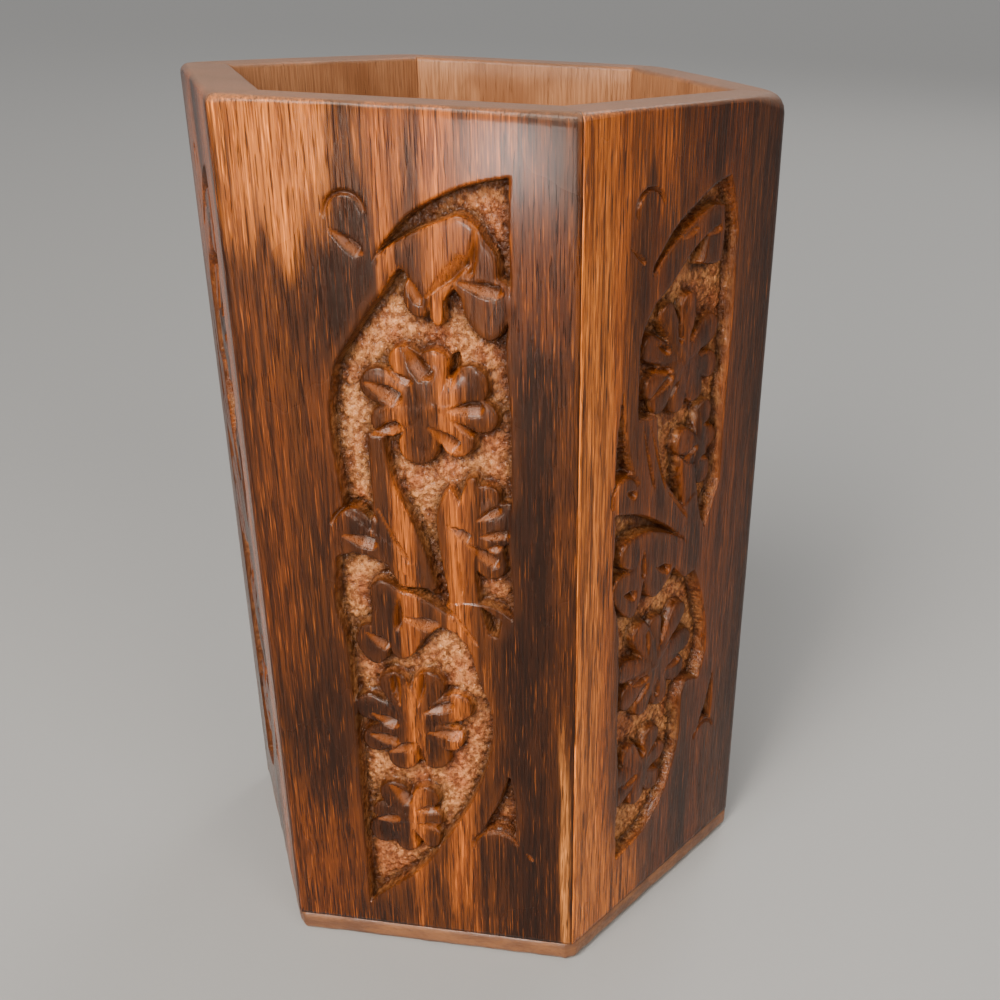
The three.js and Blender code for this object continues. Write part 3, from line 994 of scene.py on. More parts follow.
@dataclass(frozen=True)
class Wear:
    """How the edges of the cup are rubbed down, corner by corner."""

    arris: Tuple[float, ...] = (0.75, 0.75, 1.45, 1.2, 1.2, 1.45)  # of each upright edge
    arris_wave: float = 0.2
    arris_wave_length: float = 9.0
    rim: float = 0.55  # radius of the rim's edges
    rim_wave: float = 0.12
    rim_wave_length: float = 4.0
    rim_wave_ends: float = 3.0  # over which the wave dies away towards a mitre
    rim_corner: Tuple[float, ...] = (0.5, 0.3, 1.7, 0.9, 0.9, 0.7)  # added at each corner
    rim_corner_run: float = 3.5  # how soon that dies away along the rim
    arris_top: float = 0.5  # the share of it that an upright edge gains at the rim
    arris_top_run: float = 7.0  # how soon that dies away down the edge
    seed: int = 41

    def arris_radius(self, corner: int, z: Array, rim_height: float) -> Array:
        """Find the radius of one upright edge.

        Args:
            corner: Which edge, counted from the front's left.
            z: Heights up the edge.
            rim_height: Height of the rim.

        Returns:
            The radius at each height.
        """
        corner = corner % 6
        worn = self.arris_top * self.rim_corner[corner] * np.exp(-(rim_height - z) / self.arris_top_run)
        wave = self.arris_wave * line_noise(z, self.arris_wave_length, self.seed + corner)
        return self.arris[corner] + wave + worn

    def rim_radius(self, place: Place, x: Array, half: float) -> Array:
        """Find the radius of the rim's outer edge, larger near its worn corners.

        Args:
            place: The panel's side of the cup.
            x: Places across the panel, from its middle.
            half: Half the panel's width.

        Returns:
            The radius at each place.
        """
        left = self.rim_corner[place.value] * np.exp(-(half + x) / self.rim_corner_run)
        right = self.rim_corner[(place.value + 1) % 6] * np.exp(-(half - x) / self.rim_corner_run)
        ends = np.minimum((half - np.abs(x)) / self.rim_wave_ends, 1.0)
        wave = self.rim_wave * ends * line_noise(x, self.rim_wave_length, self.seed + 20 + place.value)
        return self.rim + wave + left + right


@dataclass
class CarvedPanel:
    """One mitred side of the cup with its relief, rounded rim and plain inner face."""

    sizes: CupSizes
    place: Place
    hand: Hand
    wear: Wear
    field_across: Tuple[float, float] = (5.2, 31.0)  # the carved part, finely divided
    field_up: Tuple[float, float] = (5.0, 97.0)
    fine: float = 0.185
    coarse: float = 0.6
    arris_columns: int = 4
    foot_rows: int = 4
    top_rows: int = 8
    edge_rows: int = 5
    flat_rows: int = 4
    inner_rows: int = 22
    face_wave: float = 0.012  # how far the planed face strays from flat
    face_wave_cell: Point = (9.0, 22.0)
    inner_wave: float = 0.1  # how far the rim's inner edge strays
    inner_wave_length: float = 5.0
    fade_run: float = 4.0  # over which both waves die away towards a mitre
    arris_fade: float = 3.0  # depth at which the arris no longer rounds the section

    @property
    def half(self) -> float:
        """Half the width of the outer face."""
        return float(self.sizes.half_width(np.array(0.0)))

    def columns(self) -> Array:
        """Places across the panel, from mitre to mitre, measured from its middle."""
        half, middle = self.half, self.sizes.side / 2
        low, high = self.field_across[0] - middle, self.field_across[1] - middle
        first, last = (self.wear.arris[(self.place.value + k) % 6] + self.wear.arris_wave
                       for k in (0, 1))
        turn = np.linspace(0, 1, self.arris_columns, endpoint=False)
        left = np.arange(-half + first, low, self.coarse)
        field = np.arange(low, high, self.fine)
        right = np.arange(high, half - last, self.coarse)
        return np.concatenate([-half + first * turn, left, field, right, half - last * turn[::-1]])

    def rows(self) -> Array:
        """Heights up the outer face, from the foot to the start of the rim's edge."""
        low, high = self.field_up
        foot = np.linspace(self.sizes.foot, low, self.foot_rows, endpoint=False)
        top = np.linspace(high, self.sizes.rim - self.wear.rim, self.top_rows)
        return np.concatenate([foot, np.arange(low, high, self.fine), top])

    def build(self, design: Design) -> bpy.types.Object:
        """Carve the panel and turn it to its own side of the cup.

        Args:
            design: The pattern to carve.

        Returns:
            The panel's mesh object, with the masks that its material reads.
        """
        sizes, half = self.sizes, self.half
        x0, v0 = self.columns(), self.rows()
        radius = self.wear.rim_radius(self.place, x0, half)
        stretch = (v0 - sizes.foot) / (v0[-1] - sizes.foot)
        face_z = sizes.foot + stretch[:, None] * (sizes.rim - radius - sizes.foot)[None, :]
        face_u = np.broadcast_to(x0 + sizes.side / 2, face_z.shape)
        relief = Relief(design, self.hand).shape(face_u, face_z)
        fade = smooth_step((half - np.abs(x0)) / self.fade_run)
        wave = 1 + value_noise(face_u, face_z, self.face_wave_cell, self.hand.seed + 9)
        face_depth = self.face_wave * wave * fade[None, :] - relief.pop("height")

        over_depth, over_z, over_rim, over_inside = self._over_the_rim(radius, x0, fade)
        z = np.concatenate([face_z, over_z])
        plain = np.zeros(face_z.shape)
        x, off = self._across(x0, z, np.concatenate([plain, over_depth]))
        y = np.concatenate([face_depth, over_depth]) + off - sizes.apothem
        cosine, sine = math.cos(self.place.turn), math.sin(self.place.turn)
        points = np.stack([x * cosine - y * sine, x * sine + y * cosine, z], axis=-1)
        piece = mesh_object(self.place.stem + "_panel_carved", points.reshape(-1, 3),
                            *self._faces(*z.shape))
        for name, values in relief.items():
            store_mask(piece, name, np.concatenate([values, np.zeros(over_z.shape)]))
        store_mask(piece, "rim", np.concatenate([plain, over_rim]))
        store_mask(piece, "inside", np.concatenate([plain, over_inside]))
        return piece

    def _over_the_rim(self, radius: Array, x0: Array, fade: Array) -> Tuple[Array, ...]:
        """Lay the rows over the rim and down the inner face.

        Args:
            radius: Radius of the rim's outer edge at each column.
            x0: Places of the columns.
            fade: How fully each column takes part in a wave.

        Returns:
            Depths, heights, and the masks "rim" and "inside", one row of the grid each.
        """
        sizes, low = self.sizes, self.sizes.rim - self.wear.rim
        ripple = line_noise(x0, self.inner_wave_length, self.hand.seed + 11)
        inner = self.wear.rim + self.inner_wave * ripple * fade
        quarter = [k / self.edge_rows for k in range(self.edge_rows + 1)]
        rows: List[Tuple[object, ...]] = []
        for share in quarter[1:]:
            back, down = 1 - math.cos(share * math.pi / 2), 1 - math.sin(share * math.pi / 2)
            rows.append((radius * back, sizes.rim - radius * down, share, 0.0))
        for k in range(1, self.flat_rows + 1):
            flat = k / (self.flat_rows + 1) * (sizes.wall - radius - inner)
            rows.append((radius + flat, sizes.rim, 1.0, 0.0))
        for share in quarter:
            back, down = 1 - math.sin(share * math.pi / 2), 1 - math.cos(share * math.pi / 2)
            rows.append((sizes.wall - inner * back, sizes.rim - inner * down, 1.0 - share, share))
        for k in range(1, self.inner_rows + 1):
            rows.append((sizes.wall, low + k / self.inner_rows * (sizes.foot - low), 0.0, 1.0))
        ones = np.ones(len(x0))
        return tuple(np.array([value * ones for value in column]) for column in zip(*rows))

    def _across(self, x0: Array, z: Array, depth: Array) -> Tuple[Array, Array]:
        """Fit the columns between the mitres and round the arrises.

        Args:
            x0: Places of the columns on the flat face.
            z: Height of each point.
            depth: Depth of each point's row below the outer face, without the relief.

        Returns:
            Where each point lies across the panel, and how far its arris is rounded back.
        """
        half, edge = self.half, math.pi / 6
        left, right = (self.wear.arris_radius(self.place.value + k, z, self.sizes.rim) for k in (0, 1))
        radius = np.where(x0[None, :] < 0, left, right)
        tangent = radius * math.tan(edge)
        far = np.abs(x0)[None, :]
        angle = np.clip((far - (half - tangent)) / tangent, 0, 1) * edge
        x = np.minimum(far, half - tangent) + radius * np.sin(angle)
        keep = 1 - np.clip(depth / self.arris_fade, 0, 1)
        edge_x = half - tangent + radius * math.sin(edge)
        edge_off = radius * (1 - math.cos(edge)) * keep
        scale = self.sizes.half_width(depth + edge_off) / edge_x
        return np.sign(x0)[None, :] * x * scale, radius * (1 - np.cos(angle)) * keep

    @staticmethod
    def _faces(rows: int, columns: int) -> Tuple[List[List[int]], List[bool]]:
        """Join the grid's points into quads, with the two mitres and the foot as one face each.

        Args:
            rows: Rows of the grid.
            columns: Columns of the grid.

        Returns:
            The faces, and whether each is shaded smooth.
        """
        index = np.arange(rows * columns).reshape(rows, columns)
        quads = np.stack([index[:-1, :-1], index[:-1, 1:], index[1:, 1:], index[1:, :-1]], -1)
        faces = quads.reshape(-1, 4).tolist()
        caps = [
            index[:, 0].tolist(),
            index[::-1, -1].tolist(),
            index[0, ::-1].tolist() + index[-1, :].tolist(),
        ]
        return faces + caps, [True] * len(faces) + [False] * len(caps)


@dataclass
class BaseBoard:
    """The thin board under the panels, its lower edge and corners rubbed round."""

    sizes: CupSizes
    side_steps: int = 46
    corner_steps: int = 6
    edge_steps: int = 5
    foot_radius: float = 1.2
    corner_radius: float = 1.7
    corner_dent: float = 0.1
    side_dent: float = 0.07
    dent_cell: Point = (1.7, 2.0)
    dent_run: float = 35.0  # length of a side as the dents' noise sees it
    top_chamfer: float = 0.12
    upright_share: float = 0.7  # height of the edge's middle ring, as a share of the top
    hole_radius: float = 1.3
    hole_depth: float = 1.0
    hole_sides: int = 28
    seed: int = 77

    def outline(self, z: float, inset: float) -> Array:
        """Draw the board's edge as it is seen from above.

        Args:
            z: Height of this ring.
            inset: How far the ring is drawn in.

        Returns:
            The ring's points, one row each.
        """
        step, radius = math.pi / 3, self.corner_radius
        reach = self.sizes.side - radius / math.cos(step / 2)
        out: List[Point] = []
        for k in range(6):
            corner = -2 * step + k * step
            middle = (reach * math.cos(corner), reach * math.sin(corner))
            for s in range(self.corner_steps + 1):
                angle = corner - step / 2 + s / self.corner_steps * step
                bow = radius - inset - self.corner_dent * (1 + math.sin(5.0 * k + s))
                out.append((middle[0] + bow * math.cos(angle), middle[1] + bow * math.sin(angle)))
            start = np.array(out[-1])
            following, facing = corner + step, corner + step / 2
            end = np.array([reach * turn(following) + (radius - inset) * turn(facing)
                            for turn in (math.cos, math.sin)])
            along = np.linspace(0, 1, self.side_steps + 1)[1:-1]
            noise = value_noise(along * self.dent_run, along * 0 + z, self.dent_cell, self.seed + k)
            for t, dent in zip(along, self.side_dent * (1 + noise)):
                p = start + t * (end - start)
                out.append((p[0] - dent * math.cos(facing), p[1] - dent * math.sin(facing)))
        return np.array(out)

    def build(self) -> bpy.types.Object:
        """Make the board and sink a hole in its underside for the head of each pin.

        Returns:
            The board's mesh object.
        """
        top, radius, chamfer = self.sizes.board_top, self.foot_radius, self.top_chamfer
        profile = [(top, chamfer), (top - chamfer, 0.0), (top * self.upright_share, 0.0), (radius, 0.0)]
        for k in range(1, self.edge_steps + 1):
            angle = k / self.edge_steps * math.pi / 2
            profile.append((radius * (1 - math.sin(angle)), radius * (1 - math.cos(angle))))
        rings = [np.column_stack([ring, np.full(len(ring), z)])
                 for ring, z in ((self.outline(z, inset), z) for z, inset in profile)]
        index = np.arange(sum(map(len, rings))).reshape(len(rings), -1)
        ahead = np.roll(index, -1, axis=1)
        quads = np.stack([index[:-1], index[1:], ahead[1:], ahead[:-1]], -1).reshape(-1, 4).tolist()
        faces = quads + [index[0].tolist(), index[-1, ::-1].tolist()]
        smooth = [True] * len(quads) + [False, False]
        piece = mesh_object("base_board_worn", np.concatenate(rings), faces, smooth)
        self._sink_holes(piece)
        return piece

    def _sink_holes(self, piece: bpy.types.Object) -> None:
        """Cut the six round recesses for the pin heads into the underside.

        Args:
            piece: The board.
        """
        for k in range(6):
            angle = -math.pi / 2 + k * math.pi / 3
            middle = (self.sizes.pin_ring * math.cos(angle) * MM,
                      self.sizes.pin_ring * math.sin(angle) * MM, 0.0)
            bpy.ops.mesh.primitive_cylinder_add(
                vertices=self.hole_sides, radius=self.hole_radius * MM,
                depth=2 * self.hole_depth * MM, location=middle)
            tool = bpy.context.object
            cut = piece.modifiers.new("pin_hole", "BOOLEAN")
            cut.operation, cut.solver, cut.object = "DIFFERENCE", "EXACT", tool
            apply_modifiers(piece)
            bpy.data.objects.remove(tool)


@dataclass
class BasePins:
    """The small pins that hold the board: one drawn by rule, repeated round a ring."""

    sizes: CupSizes
    count: int = 6
    sides: int = 24
    shank_radius: float = 0.6
    head_radius: float = 1.2
    head_height: float = 0.7
    length: float = 13.0
    point: float = 1.6
    set_in: float = 0.2

    def inputs(self) -> Dict[str, float]:
        """The tree's named sizes in metres."""
        lengths = {
            "Ring Radius": self.sizes.pin_ring,
            "Shank Radius": self.shank_radius,
            "Head Radius": self.head_radius,
            "Head Height": self.head_height,
            "Length": self.length - self.point,
            "Point": self.point,
            "Set In": self.set_in,
        }
        return {name: value * MM for name, value in lengths.items()}

    def tree(self, material: bpy.types.Material) -> bpy.types.GeometryNodeTree:
        """Build the node tree that draws a pin and sets a copy under each panel.

        Args:
            material: The finish of the pins.

        Returns:
            The tree, with a named input for each size and for the count.
        """
        tree = bpy.data.node_groups.new("pins_round_a_ring", "GeometryNodeTree")
        face = tree.interface
        face.new_socket("Geometry", in_out="OUTPUT", socket_type="NodeSocketGeometry")
        for name in self.inputs():
            face.new_socket(name, in_out="INPUT", socket_type="NodeSocketFloat")
        face.new_socket("Count", in_out="INPUT", socket_type="NodeSocketInt")
        given = add_node(tree, "NodeGroupInput", {}).outputs

        def rod(bottom: object, top: object, depth: object, lift: object) -> bpy.types.NodeSocket:
            """Stand a round bar or cone at a height.

            Args:
                bottom: Radius at the bottom.
                top: Radius at the top.
                depth: Its length.
                lift: Height of its lower end.

            Returns:
                Its mesh.
            """
            cone = add_node(tree, "GeometryNodeMeshCone", {
                "Vertices": self.sides, "Radius Bottom": bottom, "Radius Top": top, "Depth": depth})
            place = add_node(tree, "ShaderNodeCombineXYZ", {"Z": lift})
            return add_node(tree, "GeometryNodeTransform", {
                "Geometry": cone.outputs["Mesh"], "Translation": place.outputs[0]}).outputs[0]

        shank, head, set_in = given["Shank Radius"], given["Head Radius"], given["Set In"]
        shank_top = add_node(tree, "ShaderNodeMath", {0: set_in, 1: given["Length"]}).outputs[0]
        join = tree.nodes.new("GeometryNodeJoinGeometry")
        for bit in (rod(head, head, given["Head Height"], set_in),
                    rod(shank, shank, given["Length"], set_in),
                    rod(shank, 0.0, given["Point"], shank_top)):
            tree.links.new(bit, join.inputs[0])
        ring = add_node(tree, "GeometryNodeMeshCircle",
                        {"Vertices": given["Count"], "Radius": given["Ring Radius"]})
        turned = add_node(tree, "GeometryNodeTransform",
                          {"Geometry": ring.outputs[0], "Rotation": (0.0, 0.0, math.pi / 6)})
        copies = add_node(tree, "GeometryNodeInstanceOnPoints",
                          {"Points": turned.outputs[0], "Instance": join.outputs[0]})
        real = add_node(tree, "GeometryNodeRealizeInstances", {0: copies.outputs[0]})
        dressed = add_node(tree, "GeometryNodeSetMaterial",
                           {"Geometry": real.outputs[0], "Material": material})
        add_node(tree, "NodeGroupOutput", {"Geometry": dressed.outputs[0]})
        return tree

    def build(self, material: bpy.types.Material) -> bpy.types.Object:
        """Run the tree and keep its result as a plain mesh.

        Args:
            material: The finish of the pins.

        Returns:
            One mesh object holding all the pins.
        """
        piece = bpy.data.objects.new("base_pins", bpy.data.meshes.new("base_pins"))
        bpy.context.scene.collection.objects.link(piece)
        tree = self.tree(material)
        modifier = piece.modifiers.new("pins", "NODES")
        modifier.node_group = tree
        values = {**self.inputs(), "Count": self.count}
        for item in tree.interface.items_tree:
            if item.in_out == "INPUT":
                modifier[item.identifier] = values[item.name]
        apply_modifiers(piece)
        return piece


# ---------------------------------------------------------------------------------------
# Finishes
# ---------------------------------------------------------------------------------------

BLACK_BROWN: Colour = (0.014, 0.0030, 0.0006)
DARK: Colour = (0.031, 0.0074, 0.0011)
BROWN: Colour = (0.064, 0.0162, 0.0023)
RED: Colour = (0.096, 0.0220, 0.0029)
AMBER: Colour = (0.28, 0.070, 0.0085)
HONEY: Colour = (0.46, 0.130, 0.018)
CREAM: Colour = (0.50, 0.18, 0.040)
GROUND: Colour = (0.46, 0.150, 0.052)  # punched ground
GROUND_PALE: Colour = (0.72, 0.31, 0.108)
INNER: Colour = (0.33, 0.145, 0.063)  # inner face
INNER_DARK: Colour = (0.17, 0.062, 0.022)
BOARD_DARK: Colour = (0.090, 0.031, 0.009)  # base board
BOARD_LIGHT: Colour = (0.175, 0.066, 0.020)


@dataclass(frozen=True)
class Tint:
    """A colour that one layer of noise lays over the wood."""

    start: float  # value of the noise where the tint begins
    full: float  # and where it reaches its full share
    share: float
    colour: Colour
    times: bool = False  # multiplies the wood's own colour instead of covering it


@dataclass(frozen=True)
class Grain:
    """One layer of noise in a board, and the tints that it lays."""

    cells: Triple  # in a metre: across, through and along the board
    moved: Triple = (0, 0, 0)  # how far the board's place in the log moves the layer
    detail: float = 3.0
    rough: float = 0.55
    warp: float = 0.0
    start: Triple = (0, 0, 0)
    tints: Tuple[Tint, ...] = ()


SWAY = Grain((30, 30, 9), (1, 0, 1), 2)
WOBBLE = Grain((260, 260, 26), (0, 1, 1), 3, 0.6)
STREAKS = Grain((950, 950, 22), (1, 1, 0), 4, 0.65, tints=(Tint(0.47, 0.64, 0.6, BLACK_BROWN),))
WARMTH = Grain((3300, 1300, 66), (0, 0, 1), 4, 0.65, tints=(
    Tint(0.52, 0.66, 0.5, (1.7, 1.75, 1.8), times=True), Tint(0.58, 0.74, 0.08, AMBER)))
FIBRES = Grain((3600, 3600, 130), (1, 0, 0), 4, 0.7, tints=(
    Tint(0.44, 0.58, 0.8, (0.30, 0.24, 0.22), times=True),))
PORES = Grain((5200, 5200, 210), (0, 1, 0), 1, tints=(Tint(0.60, 0.68, 0.8, BLACK_BROWN),))
FLECKS = Grain((6400, 6400, 230), (1, 0, 0), 2, start=(0, 3, 0), tints=(
    Tint(0.57, 0.66, 0.75, (2.3, 2.3, 2.3), times=True), Tint(0.64, 0.70, 0.20, HONEY)))
BLOTCH = Grain((330, 330, 260), (1, 0, 0), tints=(Tint(0.35, 0.65, 1.0, GROUND_PALE),))
# Fine pits of the punched ground: the bump sinks them, and the tint paints shade into them.
SHADED_PITS = Grain((1500, 1500, 1250), (0, 1, 0), 3, 0.65, tints=(
    Tint(0.42, 0.60, 1.0, (0.42, 0.34, 0.30), times=True),))
STAIN = Grain((90, 90, 45), (1, 1, 0), 4, 0.6, 0.4, tints=(Tint(0.48, 0.66, 0.75, INNER_DARK),))
SMEAR = Grain((60, 60, 25), (0, 1, 0))


class Graph:
    """A material under construction, with short calls for the nodes it needs."""

    def __init__(self, name: str, turn: float = 0.0, log: float = 0.0) -> None:
        """Start a material that holds one Principled shader.

        Args:
            name: Name of the material.
            turn: Angle about the upright axis that its patterns are turned by.
            log: The board's place in the log.
        """
        self.material = bpy.data.materials.new(name)
        self.material.use_nodes = True
        self.tree = self.material.node_tree
        self.turn, self.log = turn, log
        self.tree.nodes.clear()
        self.shader = self.tree.nodes.new("ShaderNodeBsdfPrincipled")
        add_node(self.tree, "ShaderNodeOutputMaterial", {"Surface": self.shader.outputs[0]})

    def put(self, name: str, value: object) -> None:
        """Link or set one input of the shader."""
        fill(self.tree, self.shader.inputs[name], value)

    def place(self, scale: Triple = (1, 1, 1), shift: Triple = (0, 0, 0)) -> bpy.types.NodeSocket:
        """Turn object coordinates about the upright axis, then stretch them.

        Args:
            scale: The stretch along each axis.
            shift: How far the stretched coordinates are moved.

        Returns:
            The coordinates.
        """
        coords = self.tree.nodes.new("ShaderNodeTexCoord").outputs["Object"]
        turned = add_node(self.tree, "ShaderNodeMapping",
                          {"Vector": coords, "Rotation": (0.0, 0.0, -self.turn)})
        return add_node(self.tree, "ShaderNodeMapping", {
            "Vector": turned.outputs[0], "Scale": scale, "Location": shift}).outputs[0]

    def noise(self, grain: Grain) -> bpy.types.NodeSocket:
        """Draw one layer of noise, moved by the board's place in the log.

        Args:
            grain: The layer to draw.

        Returns:
            The noise, from 0 to 1.
        """
        shift = tuple(self.log * moved + start for moved, start in zip(grain.moved, grain.start))
        return add_node(self.tree, "ShaderNodeTexNoise", {
            "Vector": self.place(grain.cells, shift), "Scale": 1.0, "Detail": grain.detail,
            "Roughness": grain.rough, "Distortion": grain.warp}).outputs["Fac"]

    def maths(self, kind: str, a: object, b: object = 0.0, c: object = 0.0) -> bpy.types.NodeSocket:
        """One arithmetic step."""
        return add_node(self.tree, "ShaderNodeMath", {0: a, 1: b, 2: c}, operation=kind).outputs[0]

    def between(self, value: object, low: float, high: float, to_low: float = 0.0,
                to_high: float = 1.0) -> bpy.types.NodeSocket:
        """Map a value smoothly from one range to another, without passing its ends.

        Args:
            value: The value to map.
            low: Value that becomes to_low.
            high: Value that becomes to_high.
            to_low: Result at and before low.
            to_high: Result at and past high.

        Returns:
            The mapped value.
        """
        return add_node(self.tree, "ShaderNodeMapRange", {
            "Value": value, "From Min": low, "From Max": high, "To Min": to_low, "To Max": to_high,
        }, interpolation_type="SMOOTHSTEP").outputs[0]

    def mix(self, share: object, a: object, b: object, kind: str = "MIX") -> bpy.types.NodeSocket:
        """Mix two colours."""
        return add_node(self.tree, "ShaderNodeMix", {0: share, 6: a, 7: b},
                        data_type="RGBA", blend_type=kind).outputs[2]

    def tinted(self, colour: object, noise: bpy.types.NodeSocket, grain: Grain) -> object:
        """Lay a grain's tints over a colour.

        Args:
            colour: The colour below.
            noise: The grain's noise.
            grain: The layer whose tints are laid.

        Returns:
            The tinted colour.
        """
        for tint in grain.tints:
            top = self.mix(1.0, colour, tint.colour, "MULTIPLY") if tint.times else tint.colour
            colour = self.mix(self.between(noise, tint.start, tint.full, 0.0, tint.share), colour, top)
        return colour

    def ramp(self, share: object, stops: Sequence[Tuple[float, Colour]]) -> bpy.types.NodeSocket:
        """Give a colour for each value from 0 to 1, eased between stops.

        Args:
            share: The value.
            stops: Places of the stops and their colours.

        Returns:
            The colour.
        """
        node = add_node(self.tree, "ShaderNodeValToRGB", {0: share})
        node.color_ramp.interpolation = "EASE"
        elements = node.color_ramp.elements
        while len(elements) < len(stops):
            elements.new(0.5)
        for element, (at, colour) in zip(elements, stops):
            element.position = at
            element.color = (*colour, 1.0)
        return node.outputs[0]

    def mask(self, name: str) -> bpy.types.NodeSocket:
        """One of the values kept at each point of the mesh."""
        return add_node(self.tree, "ShaderNodeAttribute", {}, attribute_name=name).outputs["Fac"]

    def masked(self, name: str, share: float) -> bpy.types.NodeSocket:
        """A share of one mask."""
        return self.maths("MULTIPLY", self.mask(name), share)

    def bump(self, height: bpy.types.NodeSocket, strength: float, distance: float) -> None:
        """Raise fine detail on the shader's surface."""
        self.put("Normal", add_node(self.tree, "ShaderNodeBump", {
            "Strength": strength, "Distance": distance, "Height": height}).outputs[0])


@dataclass(frozen=True)
class Cloud:
    """A soft-edged stain or pale patch in a board, in millimetres on its face."""

    centre: Point  # (across from the left arris, up from the underside)
    reach: Point
    colour: Colour
    share: float = 0.8


@dataclass(frozen=True)
class Board:
    """The figure of one board: colours across it, its clouds, and its place in the log."""

    bands: Tuple[Tuple[float, Colour], ...]
    clouds: Tuple[Cloud, ...]
    log: float  # moves the grain, so that no two boards are alike


BOARDS: Dict[Place, Board] = {
    Place.FRONT: Board(
        ((0.0, BROWN), (0.10, BROWN), (0.22, DARK), (0.33, BLACK_BROWN), (0.41, DARK),
         (0.46, AMBER), (0.52, DARK), (0.57, BROWN), (0.63, AMBER), (0.71, BROWN), (0.77, DARK),
         (0.85, BLACK_BROWN), (0.93, DARK), (1.0, BROWN)),
        # The honey and amber clouds along the top are partly the board's own figure and partly painted
        # light from above.
        (Cloud((4.0, 99.0), (11.0, 12.0), HONEY, 0.75), Cloud((23.0, 99.0), (9.0, 8.0), AMBER, 0.7),
         Cloud((12.6, 94.0), (2.2, 16.0), BLACK_BROWN, 0.75), Cloud((19.5, 96.0), (1.0, 12.0), DARK, 0.7),
         Cloud((3.0, 11.0), (6.0, 14.0), RED, 0.8), Cloud((5.0, 33.0), (6.0, 10.0), BLACK_BROWN, 0.8),
         Cloud((1.5, 62.0), (3.0, 26.0), RED, 0.6), Cloud((8.0, 66.0), (2.4, 12.0), RED, 0.5),
         Cloud((17.0, 5.0), (10.0, 7.0), BROWN, 0.7), Cloud((31.0, 55.0), (3.6, 19.0), BLACK_BROWN, 0.8),
         Cloud((31.0, 88.0), (5.0, 10.0), RED, 0.7), Cloud((34.9, 12.0), (0.9, 24.0), CREAM, 0.65)), 0.0),
    Place.FRONT_RIGHT: Board(
        ((0.0, HONEY), (0.11, HONEY), (0.16, AMBER), (0.24, BROWN), (0.34, RED), (0.45, BROWN),
         (0.56, RED), (0.66, DARK), (0.74, RED), (0.84, BROWN), (1.0, DARK)),
        (Cloud((1.5, 50.0), (3.6, 70.0), HONEY, 0.7), Cloud((7.0, 99.0), (11.0, 9.0), AMBER, 0.7),
         Cloud((7.0, 7.0), (8.0, 9.0), HONEY, 0.7), Cloud((29.0, 50.0), (5.0, 26.0), RED, 0.6)), 3.1),
    Place.BACK_RIGHT: Board(
        ((0.0, DARK), (0.2, RED), (0.35, BROWN), (0.5, AMBER), (0.66, RED), (0.8, BLACK_BROWN),
         (1.0, RED)),
        (Cloud((8.0, 80.0), (7.0, 22.0), AMBER, 0.6), Cloud((26.0, 22.0), (6.0, 22.0), BLACK_BROWN, 0.7)),
        7.7),
    Place.BACK: Board(
        ((0.0, RED), (0.15, AMBER), (0.3, BROWN), (0.45, BLACK_BROWN), (0.6, RED), (0.78, AMBER),
         (0.9, HONEY), (1.0, HONEY)),
        (Cloud((12.0, 50.0), (6.0, 30.0), BLACK_BROWN, 0.6), Cloud((28.0, 92.0), (9.0, 12.0), AMBER, 0.7)),
        11.9),
    Place.BACK_LEFT: Board(
        ((0.0, HONEY), (0.12, AMBER), (0.3, RED), (0.5, DARK), (0.64, AMBER), (0.8, RED),
         (1.0, BROWN)),
        (Cloud((20.0, 20.0), (9.0, 22.0), BLACK_BROWN, 0.65), Cloud((5.0, 84.0), (7.0, 16.0), AMBER, 0.6)),
        15.3),
    Place.FRONT_LEFT: Board(
        ((0.0, BROWN), (0.2, DARK), (0.4, RED), (0.55, BLACK_BROWN), (0.7, RED), (0.85, AMBER),
         (1.0, BROWN)),
        (Cloud((10.0, 88.0), (9.0, 14.0), AMBER, 0.6), Cloud((24.0, 40.0), (6.0, 26.0), BLACK_BROWN, 0.7)),
        21.4),
}


